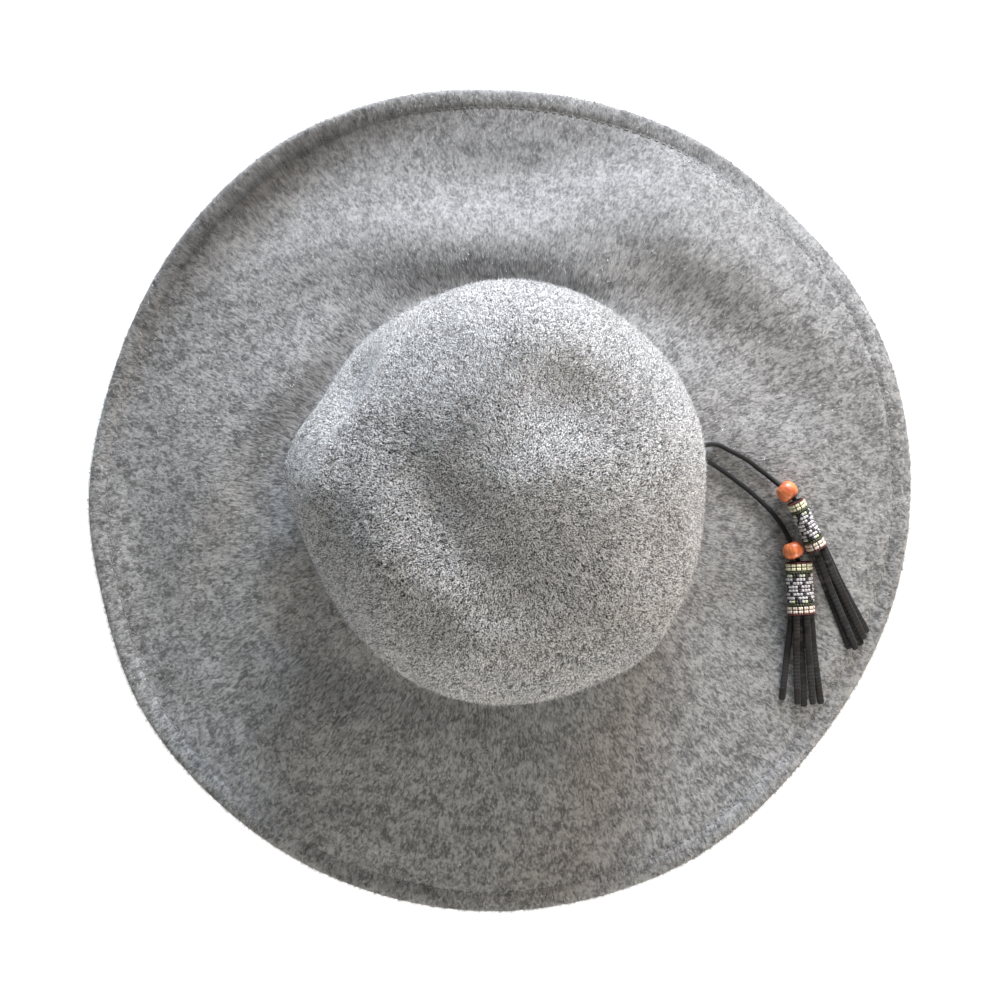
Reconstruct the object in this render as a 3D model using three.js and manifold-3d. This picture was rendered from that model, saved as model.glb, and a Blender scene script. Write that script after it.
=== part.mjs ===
// A floppy wool felt hat at rest on its brim, with a lace round the crown and two beaded tassels.
// Millimetres, +Z up. The brim rests on the plane z = 0, and the origin lies under its middle.
// +Y is the wearer's front and +X the side that carries the tassels. Angles are in degrees from +X
// towards +Y.
import * as THREE from "three";
import { mergeVertices } from "three/addons/utils/BufferGeometryUtils.js";
import Module from "manifold-3d";

const wasm = await Module();
wasm.setup();

// Driving dimensions
const gap = 0.4; // between pieces that touch
const wall = 2.0; // blocked felt
const hem = { width: 9.3, drop: 0.9, rise: 0.7, grooveWidth: 1.6, grooveDepth: 0.6, round: 1.3 };
const crown = { top: 114, widest: 58, squareness: 2.1, middle: [-0.9, 3.7] };
const head = { halfWidth: 88, halfLength: 93.5 }; // oval of the head opening, about 57 cm round
const bend = 9; // radius where the crown turns into the brim
const segments = 72;
const lace = { diameter: 2.3, sides: 8 };
const band = { aboveBend: 1.6, knotAngle: 11.3, knotReach: 3.4 };
const bead = { bore: 3.7, sides: 16, arcSteps: 7 };
const sleeve = { wall: 1.5, length: 25.3, sides: 16 };
const tassel = { recess: 0.8, collar: 2.4 };
const strip = { width: 3.4, thickness: 1.2, rootDepth: 1.4, fall: 18, steps: 8 };

// The felt's shape by angle, a row for every 15 degrees: radius of the brim's edge, half width of
// the crown at its widest, and the height of the brim's underside at seven even steps of its width,
// from its root to its rim. It rests where the height falls below zero.
const heightColumns = ["root", "sixth", "third", "half", "twoThirds", "fiveSixths", "rim"];
const shapeColumns = ["edge", "crown", ...heightColumns];
const shapeStep = 15;
const shapeRows = [
  [199.9, 97.1, 17.5, 16, 14, 12, 10, 5.5, 1],
  [201.3, 98.8, 19, 18, 15.5, 13.5, 11, 7.5, 3],
  [200.9, 99.8, 20, 17, 13, 13, 13, 9, 2.5],
  [198.2, 99.4, 19.5, 14.5, 13.5, 15.5, 13.5, 7, 0.5],
  [199.3, 99.4, 18.5, 17.5, 17, 16.5, 11.5, 3.5, -4.5],
  [199.5, 99.4, 18, 19, 16.5, 10, 3, 0.5, 0.5],
  [199.9, 98.6, 17.5, 18, 12, 3, 0.5, 1, 1],
  [202.3, 95.6, 15.5, 17.5, 13, 5, 1.5, 2, 6.5],
  [202.8, 93.8, 14, 13, 13, 8.5, 3.5, 5.5, 13.5],
  [200.3, 92.9, 13.5, 13.5, 11.5, 9.5, 6.5, 9, 15.5],
  [198.7, 93.8, 13.5, 17, 13.5, 10, 8, 7, 9],
  [198.4, 95.8, 13.5, 15, 14.5, 10, 6.5, 3, 1],
  [200.5, 96.3, 13.5, 13, 14, 10.5, 4, 1, -4],
  [199.7, 93.6, 14, 11, 10.5, 9, 4.5, 1, 1],
  [202.6, 92.4, 13.5, 7.5, 8, 8.5, 4, 1, 2.5],
  [201.6, 93.2, 13.5, 9.5, 8.5, 8, 5, 2.5, 2.5],
  [201.5, 96.0, 13, 11, 9.5, 8.5, 6, 3, 0.5],
  [200.7, 98.2, 13, 11.5, 10, 8.5, 6.5, 3, -3.5],
  [200.3, 99.2, 13.5, 11.5, 9.5, 8.5, 7, 5, 1],
  [198.2, 100.0, 14, 11, 9, 8, 7.5, 7, 6.5],
  [197.0, 100.0, 14.5, 11, 8.5, 8, 8, 8.5, 10],
  [194.3, 100.6, 14.5, 12.5, 9.5, 8, 8, 7.5, 8.5],
  [195.0, 100.2, 15.5, 11.5, 7.5, 7.5, 8, 7, 1],
  [197.6, 98.4, 16.5, 14, 11, 9.5, 9, 7, -3],
];

// Dents and ridges on the crown's top: middle, direction of the long axis, half length, half width,
// and how far the felt is lifted there.
const topFolds = [
  { x: -29, y: -4, turn: -60, long: 34, across: 20, lift: -9 },
  { x: 5, y: -35, turn: -57, long: 27, across: 23, lift: -7.5 },
  { x: 27, y: 45, turn: -38, long: 24, across: 13, lift: -6 },
  { x: 28, y: 12, turn: -5, long: 22, across: 15, lift: 2.5 },
  { x: 75, y: -29, turn: 75, long: 18, across: 14, lift: -6 },
  { x: -54, y: 0, turn: 90, long: 29, across: 10, lift: 2 },
  { x: 10, y: 65, turn: 10, long: 36, across: 20, lift: 6.5 },
  { x: 62, y: 12, turn: 67, long: 25, across: 14, lift: 3.5 },
  { x: 18, y: -54, turn: -8, long: 27, across: 11, lift: -2.5 },
  { x: -59, y: -34, turn: -65, long: 20, across: 10, lift: 2 },
];

// Folds in the crown's side: angle, height, spread in degrees, half height, and how far the felt is
// pushed out.
const sideFolds = [
  { angle: 143, height: 69, spread: 17, rise: 13, push: -13 },
  { angle: 174, height: 50, spread: 13, rise: 20, push: 2.5 },
  { angle: 212, height: 80, spread: 26, rise: 18, push: -4 },
  { angle: 268, height: 86, spread: 34, rise: 14, push: -6 },
  { angle: 352, height: 74, spread: 12, rise: 12, push: -3.5 },
];

// The two strands. Beads and sleeves are given by their middles and ends as seen from above, strips
// by the place of their root across the bundle, their tip and the layer that they lie in.
const strands = [
  {
    name: "upper",
    bead: { at: [137.2, 4.0], diameter: 10.1, length: 9.6 },
    sleeve: { from: [141.1, -0.5], to: [151.9, -23.4], halfWide: 5.2, halfHigh: 6.2, taper: 0.85 },
    lace: [
      [94.3, 23.9, 28.3],
      [96.0, 25.1, 26.8],
      [98.2, 26.2, 24.7],
      [101.2, 26.6, 22.9],
      [105.1, 25.9, 22.0],
      [109.9, 23.5, 21.5],
      [114.4, 21.3, 20.9],
      [118.8, 18.7, 20.2],
      [123.2, 15.4, 19.5],
      [127.4, 12.2, 18.9],
      [131.4, 9.0, 19.1],
      [134.6, 6.3, 20.1],
      [137.2, 4.0, 21.1],
      [139.4, 1.8, 21.4],
      [140.9, 0.0, 21.5],
    ],
    strips: [
      { across: -2.6, tip: [169.4, -72.3], layer: 0 },
      { across: -0.9, tip: [172.5, -72.6], layer: 1 },
      { across: 0.9, tip: [175.4, -70.6], layer: 0 },
      { across: 2.3, tip: [176.6, -67.6], layer: 1 },
      { across: 3.3, tip: [178.3, -64.4], layer: 0 },
    ],
  },
  {
    name: "lower",
    bead: { at: [140.5, -24.1], diameter: 10.1, length: 8.7 },
    sleeve: { from: [143.3, -29.6], to: [144.7, -54.9], halfWide: 6.8, halfHigh: 4.6, taper: 0.95 },
    lace: [
      [94.3, 20.9, 28.3],
      [96.0, 20.1, 26.7],
      [98.2, 18.8, 24.5],
      [100.9, 17.4, 22.5],
      [104.9, 14.9, 21.5],
      [109.3, 11.9, 20.8],
      [113.6, 8.6, 20.2],
      [118.1, 5.3, 19.4],
      [122.5, 1.6, 18.6],
      [126.5, -2.0, 17.9],
      [130.2, -5.7, 17.2],
      [133.5, -9.7, 16.6],
      [136.6, -14.4, 16.2],
      [138.9, -19.2, 17.1],
      [140.5, -24.1, 17.9],
      [142.1, -27.3, 17.8],
      [143.1, -29.3, 17.4],
    ],
    strips: [
      { across: -4.8, tip: [136.1, -96.8], layer: 0 },
      { across: -2.4, tip: [143.7, -99.0], layer: 1 },
      { across: 0, tip: [147.1, -100.2], layer: 0 },
      { across: 2.4, tip: [151.2, -99.0], layer: 1 },
      { across: 4.8, tip: [155.5, -99.0], layer: 0 },
    ],
  },
];

const radians = THREE.MathUtils.degToRad;

// Smooth curve through four evenly spaced values, between the second and the third.
function smoothBetween(a, b, c, d, t) {
  return b + 0.5 * t * (c - a + t * (2 * a - 5 * b + 4 * c - d + t * (3 * (b - c) + d - a)));
}

// A column of the shape table at any angle.
function shapeAt(column, degrees) {
  const k = shapeColumns.indexOf(column);
  const place = (((degrees % 360) + 360) % 360) / shapeStep;
  const row = Math.floor(place);
  const value = (n) => shapeRows[(row + n + shapeRows.length) % shapeRows.length][k];
  return smoothBetween(value(-1), value(0), value(1), value(2), place - row);
}

function headRadius(degrees) {
  const c = Math.cos(radians(degrees)) / head.halfWidth;
  const s = Math.sin(radians(degrees)) / head.halfLength;
  return 1 / Math.hypot(c, s);
}

// Height of the brim's underside at a share of the brim's width, from its root to its rim.
function brimHeight(degrees, share) {
  const heights = heightColumns.map((column) => shapeAt(column, degrees));
  const last = heights.length - 1;
  const before = heights[1]; // the brim leaves its root level
  const after = 2 * heights[last] - heights[last - 1];
  const all = [before, ...heights, after];
  const place = THREE.MathUtils.clamp(share * last, 0, last - 1e-6);
  const k = Math.floor(place);
  return smoothBetween(all[k], all[k + 1], all[k + 2], all[k + 3], place - k);
}

function hump(u, v) {
  return Math.exp(-u * u - v * v);
}

function topLift(x, y) {
  let lift = 0;
  for (const fold of topFolds) {
    const turn = radians(fold.turn);
    const dx = x - fold.x;
    const dy = y - fold.y;
    const along = dx * Math.cos(turn) + dy * Math.sin(turn);
    const across = dy * Math.cos(turn) - dx * Math.sin(turn);
    lift += fold.lift * hump(along / fold.long, across / fold.across);
  }
  return lift;
}

function sidePush(degrees, height) {
  let push = 0;
  for (const fold of sideFolds) {
    const turn = THREE.MathUtils.euclideanModulo(degrees - fold.angle + 180, 360) - 180;
    push += fold.push * hump(turn / fold.spread, (height - fold.height) / fold.rise);
  }
  return push;
}

// A point of the felt's inner face and the brim's underside. The zones follow each other from the
// crown's top to the rim, and share runs from 0 to 1 through each.
function innerFace(zone, share, degrees, inset = 0) {
  const root = shapeAt("root", degrees);
  const headEdge = headRadius(degrees);
  const wide = shapeAt("crown", degrees) - wall;
  const bendTop = root + bend;
  let radius = 0;
  let height = 0;
  let pull = 1; // how far the crown's own middle counts
  if (zone === "dome") {
    const phi = share * 0.5 * Math.PI;
    const power = 2 / crown.squareness;
    radius = wide * Math.sin(phi) ** power;
    height = crown.widest + (crown.top - wall - crown.widest) * Math.max(0, Math.cos(phi)) ** power;
    radius += sidePush(degrees, height) * Math.sin(phi);
  } else if (zone === "wall") {
    height = crown.widest + (bendTop - crown.widest) * share;
    radius = headEdge + (wide - headEdge) * 0.5 * (1 + Math.cos(Math.PI * share));
    radius += sidePush(degrees, height) * (1 - share * share);
  } else if (zone === "bend") {
    const phi = share * 0.5 * Math.PI;
    radius = headEdge + bend * (1 - Math.cos(phi));
    height = root + bend * (1 - Math.sin(phi));
  } else {
    const rootEdge = headEdge + bend;
    const width = shapeAt("edge", degrees) - rootEdge;
    const reach = share - inset / width;
    radius = rootEdge + width * reach;
    height = brimHeight(degrees, reach);
    pull = 1 - reach;
  }
  const x = crown.middle[0] * pull + radius * Math.cos(radians(degrees));
  const y = crown.middle[1] * pull + radius * Math.sin(radians(degrees));
  if (zone === "dome") height += topLift(x, y) * (1 - share ** 4);
  return new THREE.Vector3(x, y, height);
}

function faceNormal(zone, share, degrees, inset = 0) {
  const step = 0.01;
  const low = Math.max(0, share - step);
  const high = Math.min(1, share + step);
  const outward = innerFace(zone, high, degrees, inset).sub(innerFace(zone, low, degrees, inset));
  const round = innerFace(zone, share, degrees + 1, inset).sub(
    innerFace(zone, share, degrees - 1, inset),
  );
  return outward.cross(round).normalize();
}

// A point of the felt at a layer, which is its height above the plane the hem rests on.
function feltPoint({ zone, share, inset, layer }, degrees) {
  const point = innerFace(zone, share, degrees, inset);
  const pole = zone === "dome" && share === 0;
  const normal = pole ? new THREE.Vector3(0, 0, 1) : faceNormal(zone, share, degrees, inset);
  point.addScaledVector(normal, layer - hem.drop);
  if (zone === "brim") point.z = Math.max(point.z, layer);
  return point;
}

// The closed section of the felt: over the crown and the brim, round the hem and back underneath.
function feltSection() {
  const domeShares = [0, 0.05, 0.12, 0.2, 0.28, 0.37, 0.47, 0.58, 0.7, 0.84, 1];
  const wallShares = [0.33, 0.67, 1];
  const bendShares = [0.35, 0.7, 1];
  const brimShares = [0.08, 0.17, 0.33, 0.5, 0.67, 0.83];
  const under = hem.drop;
  const over = hem.drop + wall;
  const hemTop = over + hem.rise;
  const middle = hemTop / 2;
  const stations = (zone, shares, layer) =>
    shares.map((share) => ({ zone, share, inset: 0, layer }));
  const rim = (inset, layer) => ({ zone: "brim", share: 1, inset, layer });
  const outer = [
    ...stations("dome", domeShares, over),
    ...stations("wall", wallShares, over),
    ...stations("bend", bendShares, over),
    ...stations("brim", brimShares, over),
    rim(hem.width + hem.grooveWidth, over),
    rim(hem.width, over - hem.grooveDepth),
    rim(hem.width - hem.grooveWidth, hemTop),
    rim(hem.round, hemTop),
  ];
  const inner = [
    ...stations("dome", domeShares, under),
    ...stations("wall", wallShares, under),
    ...stations("bend", bendShares, under),
    ...stations("brim", brimShares, under),
    rim(hem.width + 0.4, under),
    rim(hem.width - 0.4, 0),
    rim(hem.round, 0),
  ];
  return [...outer, rim(0, middle), ...inner.reverse()];
}

// The felt starts as a lathe of its section, and each vertex takes its place for its angle.
function feltGeometry() {
  const section = feltSection();
  const profile = section.map((station) => {
    const point = feltPoint(station, 0);
    const pole = station.zone === "dome" && station.share === 0;
    return new THREE.Vector2(pole ? 0 : point.x, point.z);
  });
  const geometry = new THREE.LatheGeometry(profile, segments);
  const position = geometry.getAttribute("position");
  for (let i = 0; i < position.count; i++) {
    const station = section[i % section.length];
    const turn = Math.floor(i / section.length) % segments;
    const pole = station.zone === "dome" && station.share === 0;
    const point = feltPoint(station, pole ? 0 : -turn * (360 / segments));
    position.setXYZ(i, point.x, point.y, point.z);
  }
  return geometry;
}

// Height of the brim's upper face at a point seen from above.
function brimTop(x, y) {
  const degrees = THREE.MathUtils.radToDeg(Math.atan2(y, x));
  const rootEdge = headRadius(degrees) + bend;
  const width = shapeAt("edge", degrees) - rootEdge;
  const share = (Math.hypot(x, y) - rootEdge) / width;
  const onHem = share > 1 - (hem.width + hem.grooveWidth) / width;
  const thickness = wall + (onHem ? hem.rise : 0);
  const level = faceNormal("brim", THREE.MathUtils.clamp(share, 0.02, 0.98), degrees).z;
  return Math.max(brimHeight(degrees, share) + thickness / level, hem.drop + thickness);
}

function regularPolygon(diameter, sides) {
  const shape = new THREE.Shape();
  for (let i = 0; i < sides; i++) {
    const turn = (i / sides) * 2 * Math.PI;
    const x = (diameter / 2) * Math.cos(turn);
    const y = (diameter / 2) * Math.sin(turn);
    if (i === 0) shape.moveTo(x, y);
    else shape.lineTo(x, y);
  }
  shape.closePath();
  return shape;
}

function tube(points, diameter, sides, steps) {
  const extrudePath = new THREE.CatmullRomCurve3(points, false, "centripetal");
  return new THREE.ExtrudeGeometry(regularPolygon(diameter, sides), {
    steps,
    extrudePath,
    bevelEnabled: false,
  });
}

function asSolid(geometry) {
  const bare = geometry.clone();
  bare.deleteAttribute("normal");
  bare.deleteAttribute("uv");
  const merged = mergeVertices(bare, 1e-3);
  return new wasm.Manifold(
    new wasm.Mesh({
      numProp: 3,
      vertProperties: merged.attributes.position.array,
      triVerts: new Uint32Array(merged.index.array),
    }),
  );
}

function joined(geometries) {
  const solid = geometries.map(asSolid).reduce((whole, part) => whole.add(part));
  const mesh = solid.getMesh();
  const geometry = new THREE.BufferGeometry();
  geometry.setAttribute("position", new THREE.BufferAttribute(mesh.vertProperties, 3));
  geometry.setIndex(new THREE.BufferAttribute(mesh.triVerts, 1));
  geometry.computeVertexNormals();
  return geometry;
}

// The band lies in the corner above the brim, against the crown's outer face.
function bandPoint(degrees, away = 0) {
  const bendTop = shapeAt("root", degrees) + bend;
  const share = 1 - band.aboveBend / (crown.widest - bendTop);
  const station = { zone: "wall", share, inset: 0, layer: hem.drop + wall };
  const point = feltPoint(station, degrees);
  return point.addScaledVector(
    faceNormal("wall", share, degrees),
    lace.diameter / 2 + gap + away,
  );
}

function bandGeometry() {
  const half = THREE.MathUtils.radToDeg((band.knotReach + 0.5) / head.halfWidth);
  const count = 46;
  const points = [];
  for (let i = 0; i <= count; i++)
    points.push(bandPoint(band.knotAngle + half + ((360 - 2 * half) * i) / count));
  return tube(points, lace.diameter, lace.sides, count);
}

// Two turns of lace pulled tight over a core.
function knotGeometry() {
  const place = bandPoint(band.knotAngle, 1.5);
  const out = radians(band.knotAngle);
  const ring = (tilt) =>
    new THREE.TorusGeometry(2.1, lace.diameter / 2, 6, 10).rotateY(0.5 * Math.PI).rotateZ(tilt);
  const core = new THREE.SphereGeometry(2.7, 12, 8);
  const turned = [ring(0.35), ring(-0.45).translate(0, 1.2, 0), core];
  return joined(turned).rotateZ(out).translate(place.x, place.y, place.z);
}

// Turns a piece made along +Y so that it runs between two points, with its width level.
function layBetween(piece, from, to) {
  const along = to.clone().sub(from).normalize();
  const side = along.clone().cross(new THREE.Vector3(0, 0, 1)).normalize();
  piece.quaternion.setFromRotationMatrix(
    new THREE.Matrix4().makeBasis(side, along, side.clone().cross(along)),
  );
  piece.position.copy(from).lerp(to, 0.5);
}

function beadGeometry({ diameter, length }) {
  const edge = Math.acos(bead.bore / diameter);
  const points = [];
  for (let i = 0; i <= bead.arcSteps; i++) {
    const turn = -edge + (2 * edge * i) / bead.arcSteps;
    const y = (length / 2) * (Math.sin(turn) / Math.sin(edge));
    points.push(new THREE.Vector2((diameter / 2) * Math.cos(turn), y));
  }
  points.push(points[0].clone());
  return new THREE.LatheGeometry(points, bead.sides);
}

// An oval bar along +Y that starts narrower by its taper, or a tube where it has a wall.
function ovalPiece(halfWide, halfHigh, length, taper, thickness = 0) {
  const turn = 2 * Math.PI;
  const outline = new THREE.Shape().absellipse(0, 0, halfWide, halfHigh, 0, turn);
  if (thickness) {
    const bore = new THREE.Path();
    bore.absellipse(0, 0, halfWide - thickness, halfHigh - thickness, 0, turn, true);
    outline.holes.push(bore);
  }
  const geometry = new THREE.ExtrudeGeometry(outline, {
    depth: length,
    bevelEnabled: false,
    curveSegments: sleeve.sides / 2,
  });
  const position = geometry.getAttribute("position");
  for (let i = 0; i < position.count; i++) {
    const size = THREE.MathUtils.lerp(taper, 1, position.getZ(i) / length);
    position.setXY(i, position.getX(i) * size, position.getY(i) * size);
  }
  return geometry.translate(0, 0, -length / 2).rotateX(-0.5 * Math.PI);
}

// Where a strand's sleeve starts and ends, at the height that rests it on the brim.
function sleeveEnds({ sleeve: { from, to, halfHigh } }) {
  const at = (part) => [
    THREE.MathUtils.lerp(from[0], to[0], part),
    THREE.MathUtils.lerp(from[1], to[1], part),
  ];
  const parts = [0, 0.25, 0.5, 0.75, 1];
  const heights = parts.map((part) => brimTop(...at(part)));
  const level = (part) => THREE.MathUtils.lerp(heights[0], heights.at(-1), part);
  const bulge = Math.max(...parts.map((part, i) => heights[i] - level(part)));
  const end = (part) => new THREE.Vector3(...at(part), level(part) + bulge + halfHigh + gap);
  const start = end(0);
  return { from: start, axis: end(1).sub(start).normalize() };
}

// A box bent along a course, with its broad faces level across it.
function flatStrip(course) {
  const box = new THREE.BoxGeometry(strip.width, 1, strip.thickness, 1, strip.steps, 1);
  const position = box.getAttribute("position");
  const up = new THREE.Vector3(0, 0, 1);
  for (let i = 0; i < position.count; i++) {
    const share = THREE.MathUtils.clamp(position.getY(i) + 0.5, 0, 1);
    const along = course.getTangentAt(share);
    const side = along.clone().cross(up).normalize();
    const point = course.getPointAt(share).addScaledVector(side, position.getX(i));
    point.addScaledVector(side.clone().cross(along), position.getZ(i));
    position.setXYZ(i, point.x, point.y, point.z);
  }
  return box;
}

// A strip leaves the collar, falls to the brim and then lies along it.
function stripGeometry(strand, row) {
  const { from, axis } = sleeveEnds(strand);
  const side = new THREE.Vector3(-axis.y, axis.x, 0).normalize();
  const collarEnd = from.clone().addScaledVector(axis, sleeve.length + gap + tassel.collar);
  const leave = collarEnd.addScaledVector(side, row.across);
  leave.z += (row.layer - 0.5) * 2 * strip.thickness;
  const start = leave.clone().addScaledVector(axis, -strip.rootDepth);
  const points = [start, leave];
  const resting = strip.thickness / 2 + 1.7 * gap + row.layer * (strip.thickness + 0.4);
  const [tipX, tipY] = row.tip;
  const length = Math.hypot(tipX - leave.x, tipY - leave.y);
  const reach = strip.width / 2 + gap;
  for (const part of [0.17, 0.34, 0.5, 0.66, 0.83, 1]) {
    const x = THREE.MathUtils.lerp(leave.x, tipX, part);
    const y = THREE.MathUtils.lerp(leave.y, tipY, part);
    const under = Math.max(
      brimTop(x, y),
      brimTop(x - reach * side.x, y - reach * side.y),
      brimTop(x + reach * side.x, y + reach * side.y),
    );
    const fallen = THREE.MathUtils.smoothstep(part * length, 0, strip.fall);
    points.push(new THREE.Vector3(x, y, THREE.MathUtils.lerp(leave.z, under + resting, fallen)));
  }
  return flatStrip(new THREE.CatmullRomCurve3(points, false, "centripetal"));
}

// The bundle's head fills the sleeve, and a collar below it holds the strips.
function tasselGeometry(strand) {
  const { from, axis } = sleeveEnds(strand);
  const { halfWide, halfHigh, taper } = strand.sleeve;
  const inside = sleeve.wall + gap;
  const placed = (geometry, start, length) => {
    const piece = new THREE.Object3D();
    const low = from.clone().addScaledVector(axis, start);
    layBetween(piece, low, low.clone().addScaledVector(axis, length));
    piece.updateMatrix();
    return geometry.applyMatrix4(piece.matrix);
  };
  const headLength = sleeve.length - tassel.recess + gap + 0.5 * tassel.collar;
  const headShape = ovalPiece(halfWide - inside, halfHigh - inside, headLength, 0.9 * taper);
  const collarShape = ovalPiece(halfWide - 0.3, halfHigh - 0.6, tassel.collar, 1);
  return joined([
    placed(headShape, tassel.recess, headLength),
    placed(collarShape, sleeve.length + gap, tassel.collar),
    ...strand.strips.map((row) => stripGeometry(strand, row)),
  ]);
}

const finishes = {
  felt: new THREE.MeshStandardMaterial({ color: 0x9a9a9c, roughness: 0.95, metalness: 0 }),
  lace: new THREE.MeshStandardMaterial({ color: 0x1e1e20, roughness: 0.85, metalness: 0 }),
  wood: new THREE.MeshStandardMaterial({ color: 0xd9713f, roughness: 0.4, metalness: 0 }),
  beadwork: new THREE.MeshStandardMaterial({ color: 0xd8d4cc, roughness: 0.3, metalness: 0 }),
  strips: new THREE.MeshStandardMaterial({ color: 0x2b2728, roughness: 0.8, metalness: 0 }),
};

function named(name, geometry, finish) {
  const mesh = new THREE.Mesh(geometry, finish);
  mesh.name = name;
  return mesh;
}

// One strand: its lace, bead, sleeve and tassel.
function strandGroup(strand) {
  const group = new THREE.Group();
  const { from, axis } = sleeveEnds(strand);
  const { halfWide, halfHigh, taper } = strand.sleeve;

  const points = strand.lace.map((point) => new THREE.Vector3(...point));
  const laceShape = tube(points, lace.diameter, lace.sides, 2 * points.length);
  group.add(named("tail_lace_" + strand.name, laceShape, finishes.lace));

  const round = named("bead_" + strand.name, beadGeometry(strand.bead), finishes.wood);
  const near = points.findIndex((point) => point.x === strand.bead.at[0]);
  layBetween(round, points[near - 1], points[near + 1]);
  round.position.copy(points[near]);
  group.add(round);

  const coverShape = ovalPiece(halfWide, halfHigh, sleeve.length, taper, sleeve.wall);
  const cover = named("sleeve_" + strand.name, coverShape, finishes.beadwork);
  layBetween(cover, from, from.clone().addScaledVector(axis, sleeve.length));
  group.add(cover);

  group.add(named("tassel_" + strand.name, tasselGeometry(strand), finishes.strips));
  return group;
}

const hat = new THREE.Group();
hat.add(named("felt_body", feltGeometry(), finishes.felt));
hat.add(named("band_lace", bandGeometry(), finishes.lace));
hat.add(named("band_knot", knotGeometry(), finishes.lace));
for (const strand of strands) hat.add(strandGroup(strand));

export default hat;
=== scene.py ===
"""Looks for a floppy hat of grey wool felt, with a black lace round its crown and two beaded
tassels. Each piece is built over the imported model, in its frame: metres, +Z up, the brim on z = 0.
"""

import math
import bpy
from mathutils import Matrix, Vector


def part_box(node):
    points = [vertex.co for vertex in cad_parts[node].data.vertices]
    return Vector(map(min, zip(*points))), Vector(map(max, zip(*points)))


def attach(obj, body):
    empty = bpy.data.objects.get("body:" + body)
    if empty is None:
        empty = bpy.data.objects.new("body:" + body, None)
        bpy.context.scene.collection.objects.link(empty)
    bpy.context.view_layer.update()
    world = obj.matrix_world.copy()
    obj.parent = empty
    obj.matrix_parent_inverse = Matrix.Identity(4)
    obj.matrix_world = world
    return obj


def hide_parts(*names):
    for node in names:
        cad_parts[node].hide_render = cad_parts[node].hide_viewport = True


bl_info = {
    "name": "Felt hat",
    "version": (1, 0, 0),
    "blender": (4, 5, 0),
    "location": "3D View > Sidebar > Hat",
    "description": "Builds a felt hat with a lace, wooden beads, bead sleeves and tassels",
    "category": "Add Mesh",
}

import bmesh
import bpy
import numpy as np
from bpy.props import (
    FloatProperty,
    FloatVectorProperty,
    IntProperty,
    PointerProperty,
)
from mathutils import Matrix, Vector, noise
from mathutils.bvhtree import BVHTree

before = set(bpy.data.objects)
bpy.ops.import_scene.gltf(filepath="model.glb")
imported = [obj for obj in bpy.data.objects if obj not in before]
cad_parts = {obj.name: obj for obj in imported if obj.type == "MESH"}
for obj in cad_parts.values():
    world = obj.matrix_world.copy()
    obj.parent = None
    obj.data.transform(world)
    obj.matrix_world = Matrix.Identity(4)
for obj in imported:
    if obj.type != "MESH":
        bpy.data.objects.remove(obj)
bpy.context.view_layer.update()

MM = 0.001
BODY = "root"

# The laces' courses, the same as in the model
LACE_DIAMETER = 2.3 * MM
# Turns of its plies, their number, and the points of a tail's smooth route
LACE_TURNS = 60.0
LACE_PLIES = 2.0
COURSE_STEPS = 90
UPPER_COURSE = [
    (0.0943, 0.0239, 0.0283),
    (0.0960, 0.0251, 0.0268),
    (0.0982, 0.0262, 0.0247),
    (0.1012, 0.0266, 0.0229),
    (0.1051, 0.0259, 0.0220),
    (0.1099, 0.0235, 0.0215),
    (0.1144, 0.0213, 0.0209),
    (0.1188, 0.0187, 0.0202),
    (0.1232, 0.0154, 0.0195),
    (0.1274, 0.0122, 0.0189),
    (0.1314, 0.0090, 0.0191),
    (0.1346, 0.0063, 0.0201),
    (0.1372, 0.0040, 0.0211),
    (0.1394, 0.0018, 0.0214),
    (0.1409, 0.0000, 0.0215),
]
LOWER_COURSE = [
    (0.0943, 0.0209, 0.0283),
    (0.0960, 0.0201, 0.0267),
    (0.0982, 0.0188, 0.0245),
    (0.1009, 0.0174, 0.0225),
    (0.1049, 0.0149, 0.0215),
    (0.1093, 0.0119, 0.0208),
    (0.1136, 0.0086, 0.0202),
    (0.1181, 0.0053, 0.0194),
    (0.1225, 0.0016, 0.0186),
    (0.1265, -0.0020, 0.0179),
    (0.1302, -0.0057, 0.0172),
    (0.1335, -0.0097, 0.0166),
    (0.1366, -0.0144, 0.0162),
    (0.1389, -0.0192, 0.0171),
    (0.1405, -0.0241, 0.0179),
    (0.1421, -0.0273, 0.0178),
    (0.1431, -0.0293, 0.0174),
]

# A strand: its lace, where its bead's hole points, and the sleeve's ends as seen from above
STRANDS = {
    "upper": {
        "course": UPPER_COURSE,
        "bead_across": 10.1 * MM,
        "bead_along": 9.6 * MM,
        "sleeve_ends": ((0.1411, -0.0005), (0.1519, -0.0234)),
        "sleeve_half": (5.2 * MM, 6.2 * MM),
        "taper": 0.85,
    },
    "lower": {
        "course": LOWER_COURSE,
        "bead_across": 10.1 * MM,
        "bead_along": 8.7 * MM,
        "sleeve_ends": ((0.1433, -0.0296), (0.1447, -0.0549)),
        "sleeve_half": (6.8 * MM, 4.6 * MM),
        "taper": 0.95,
    },
}

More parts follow.
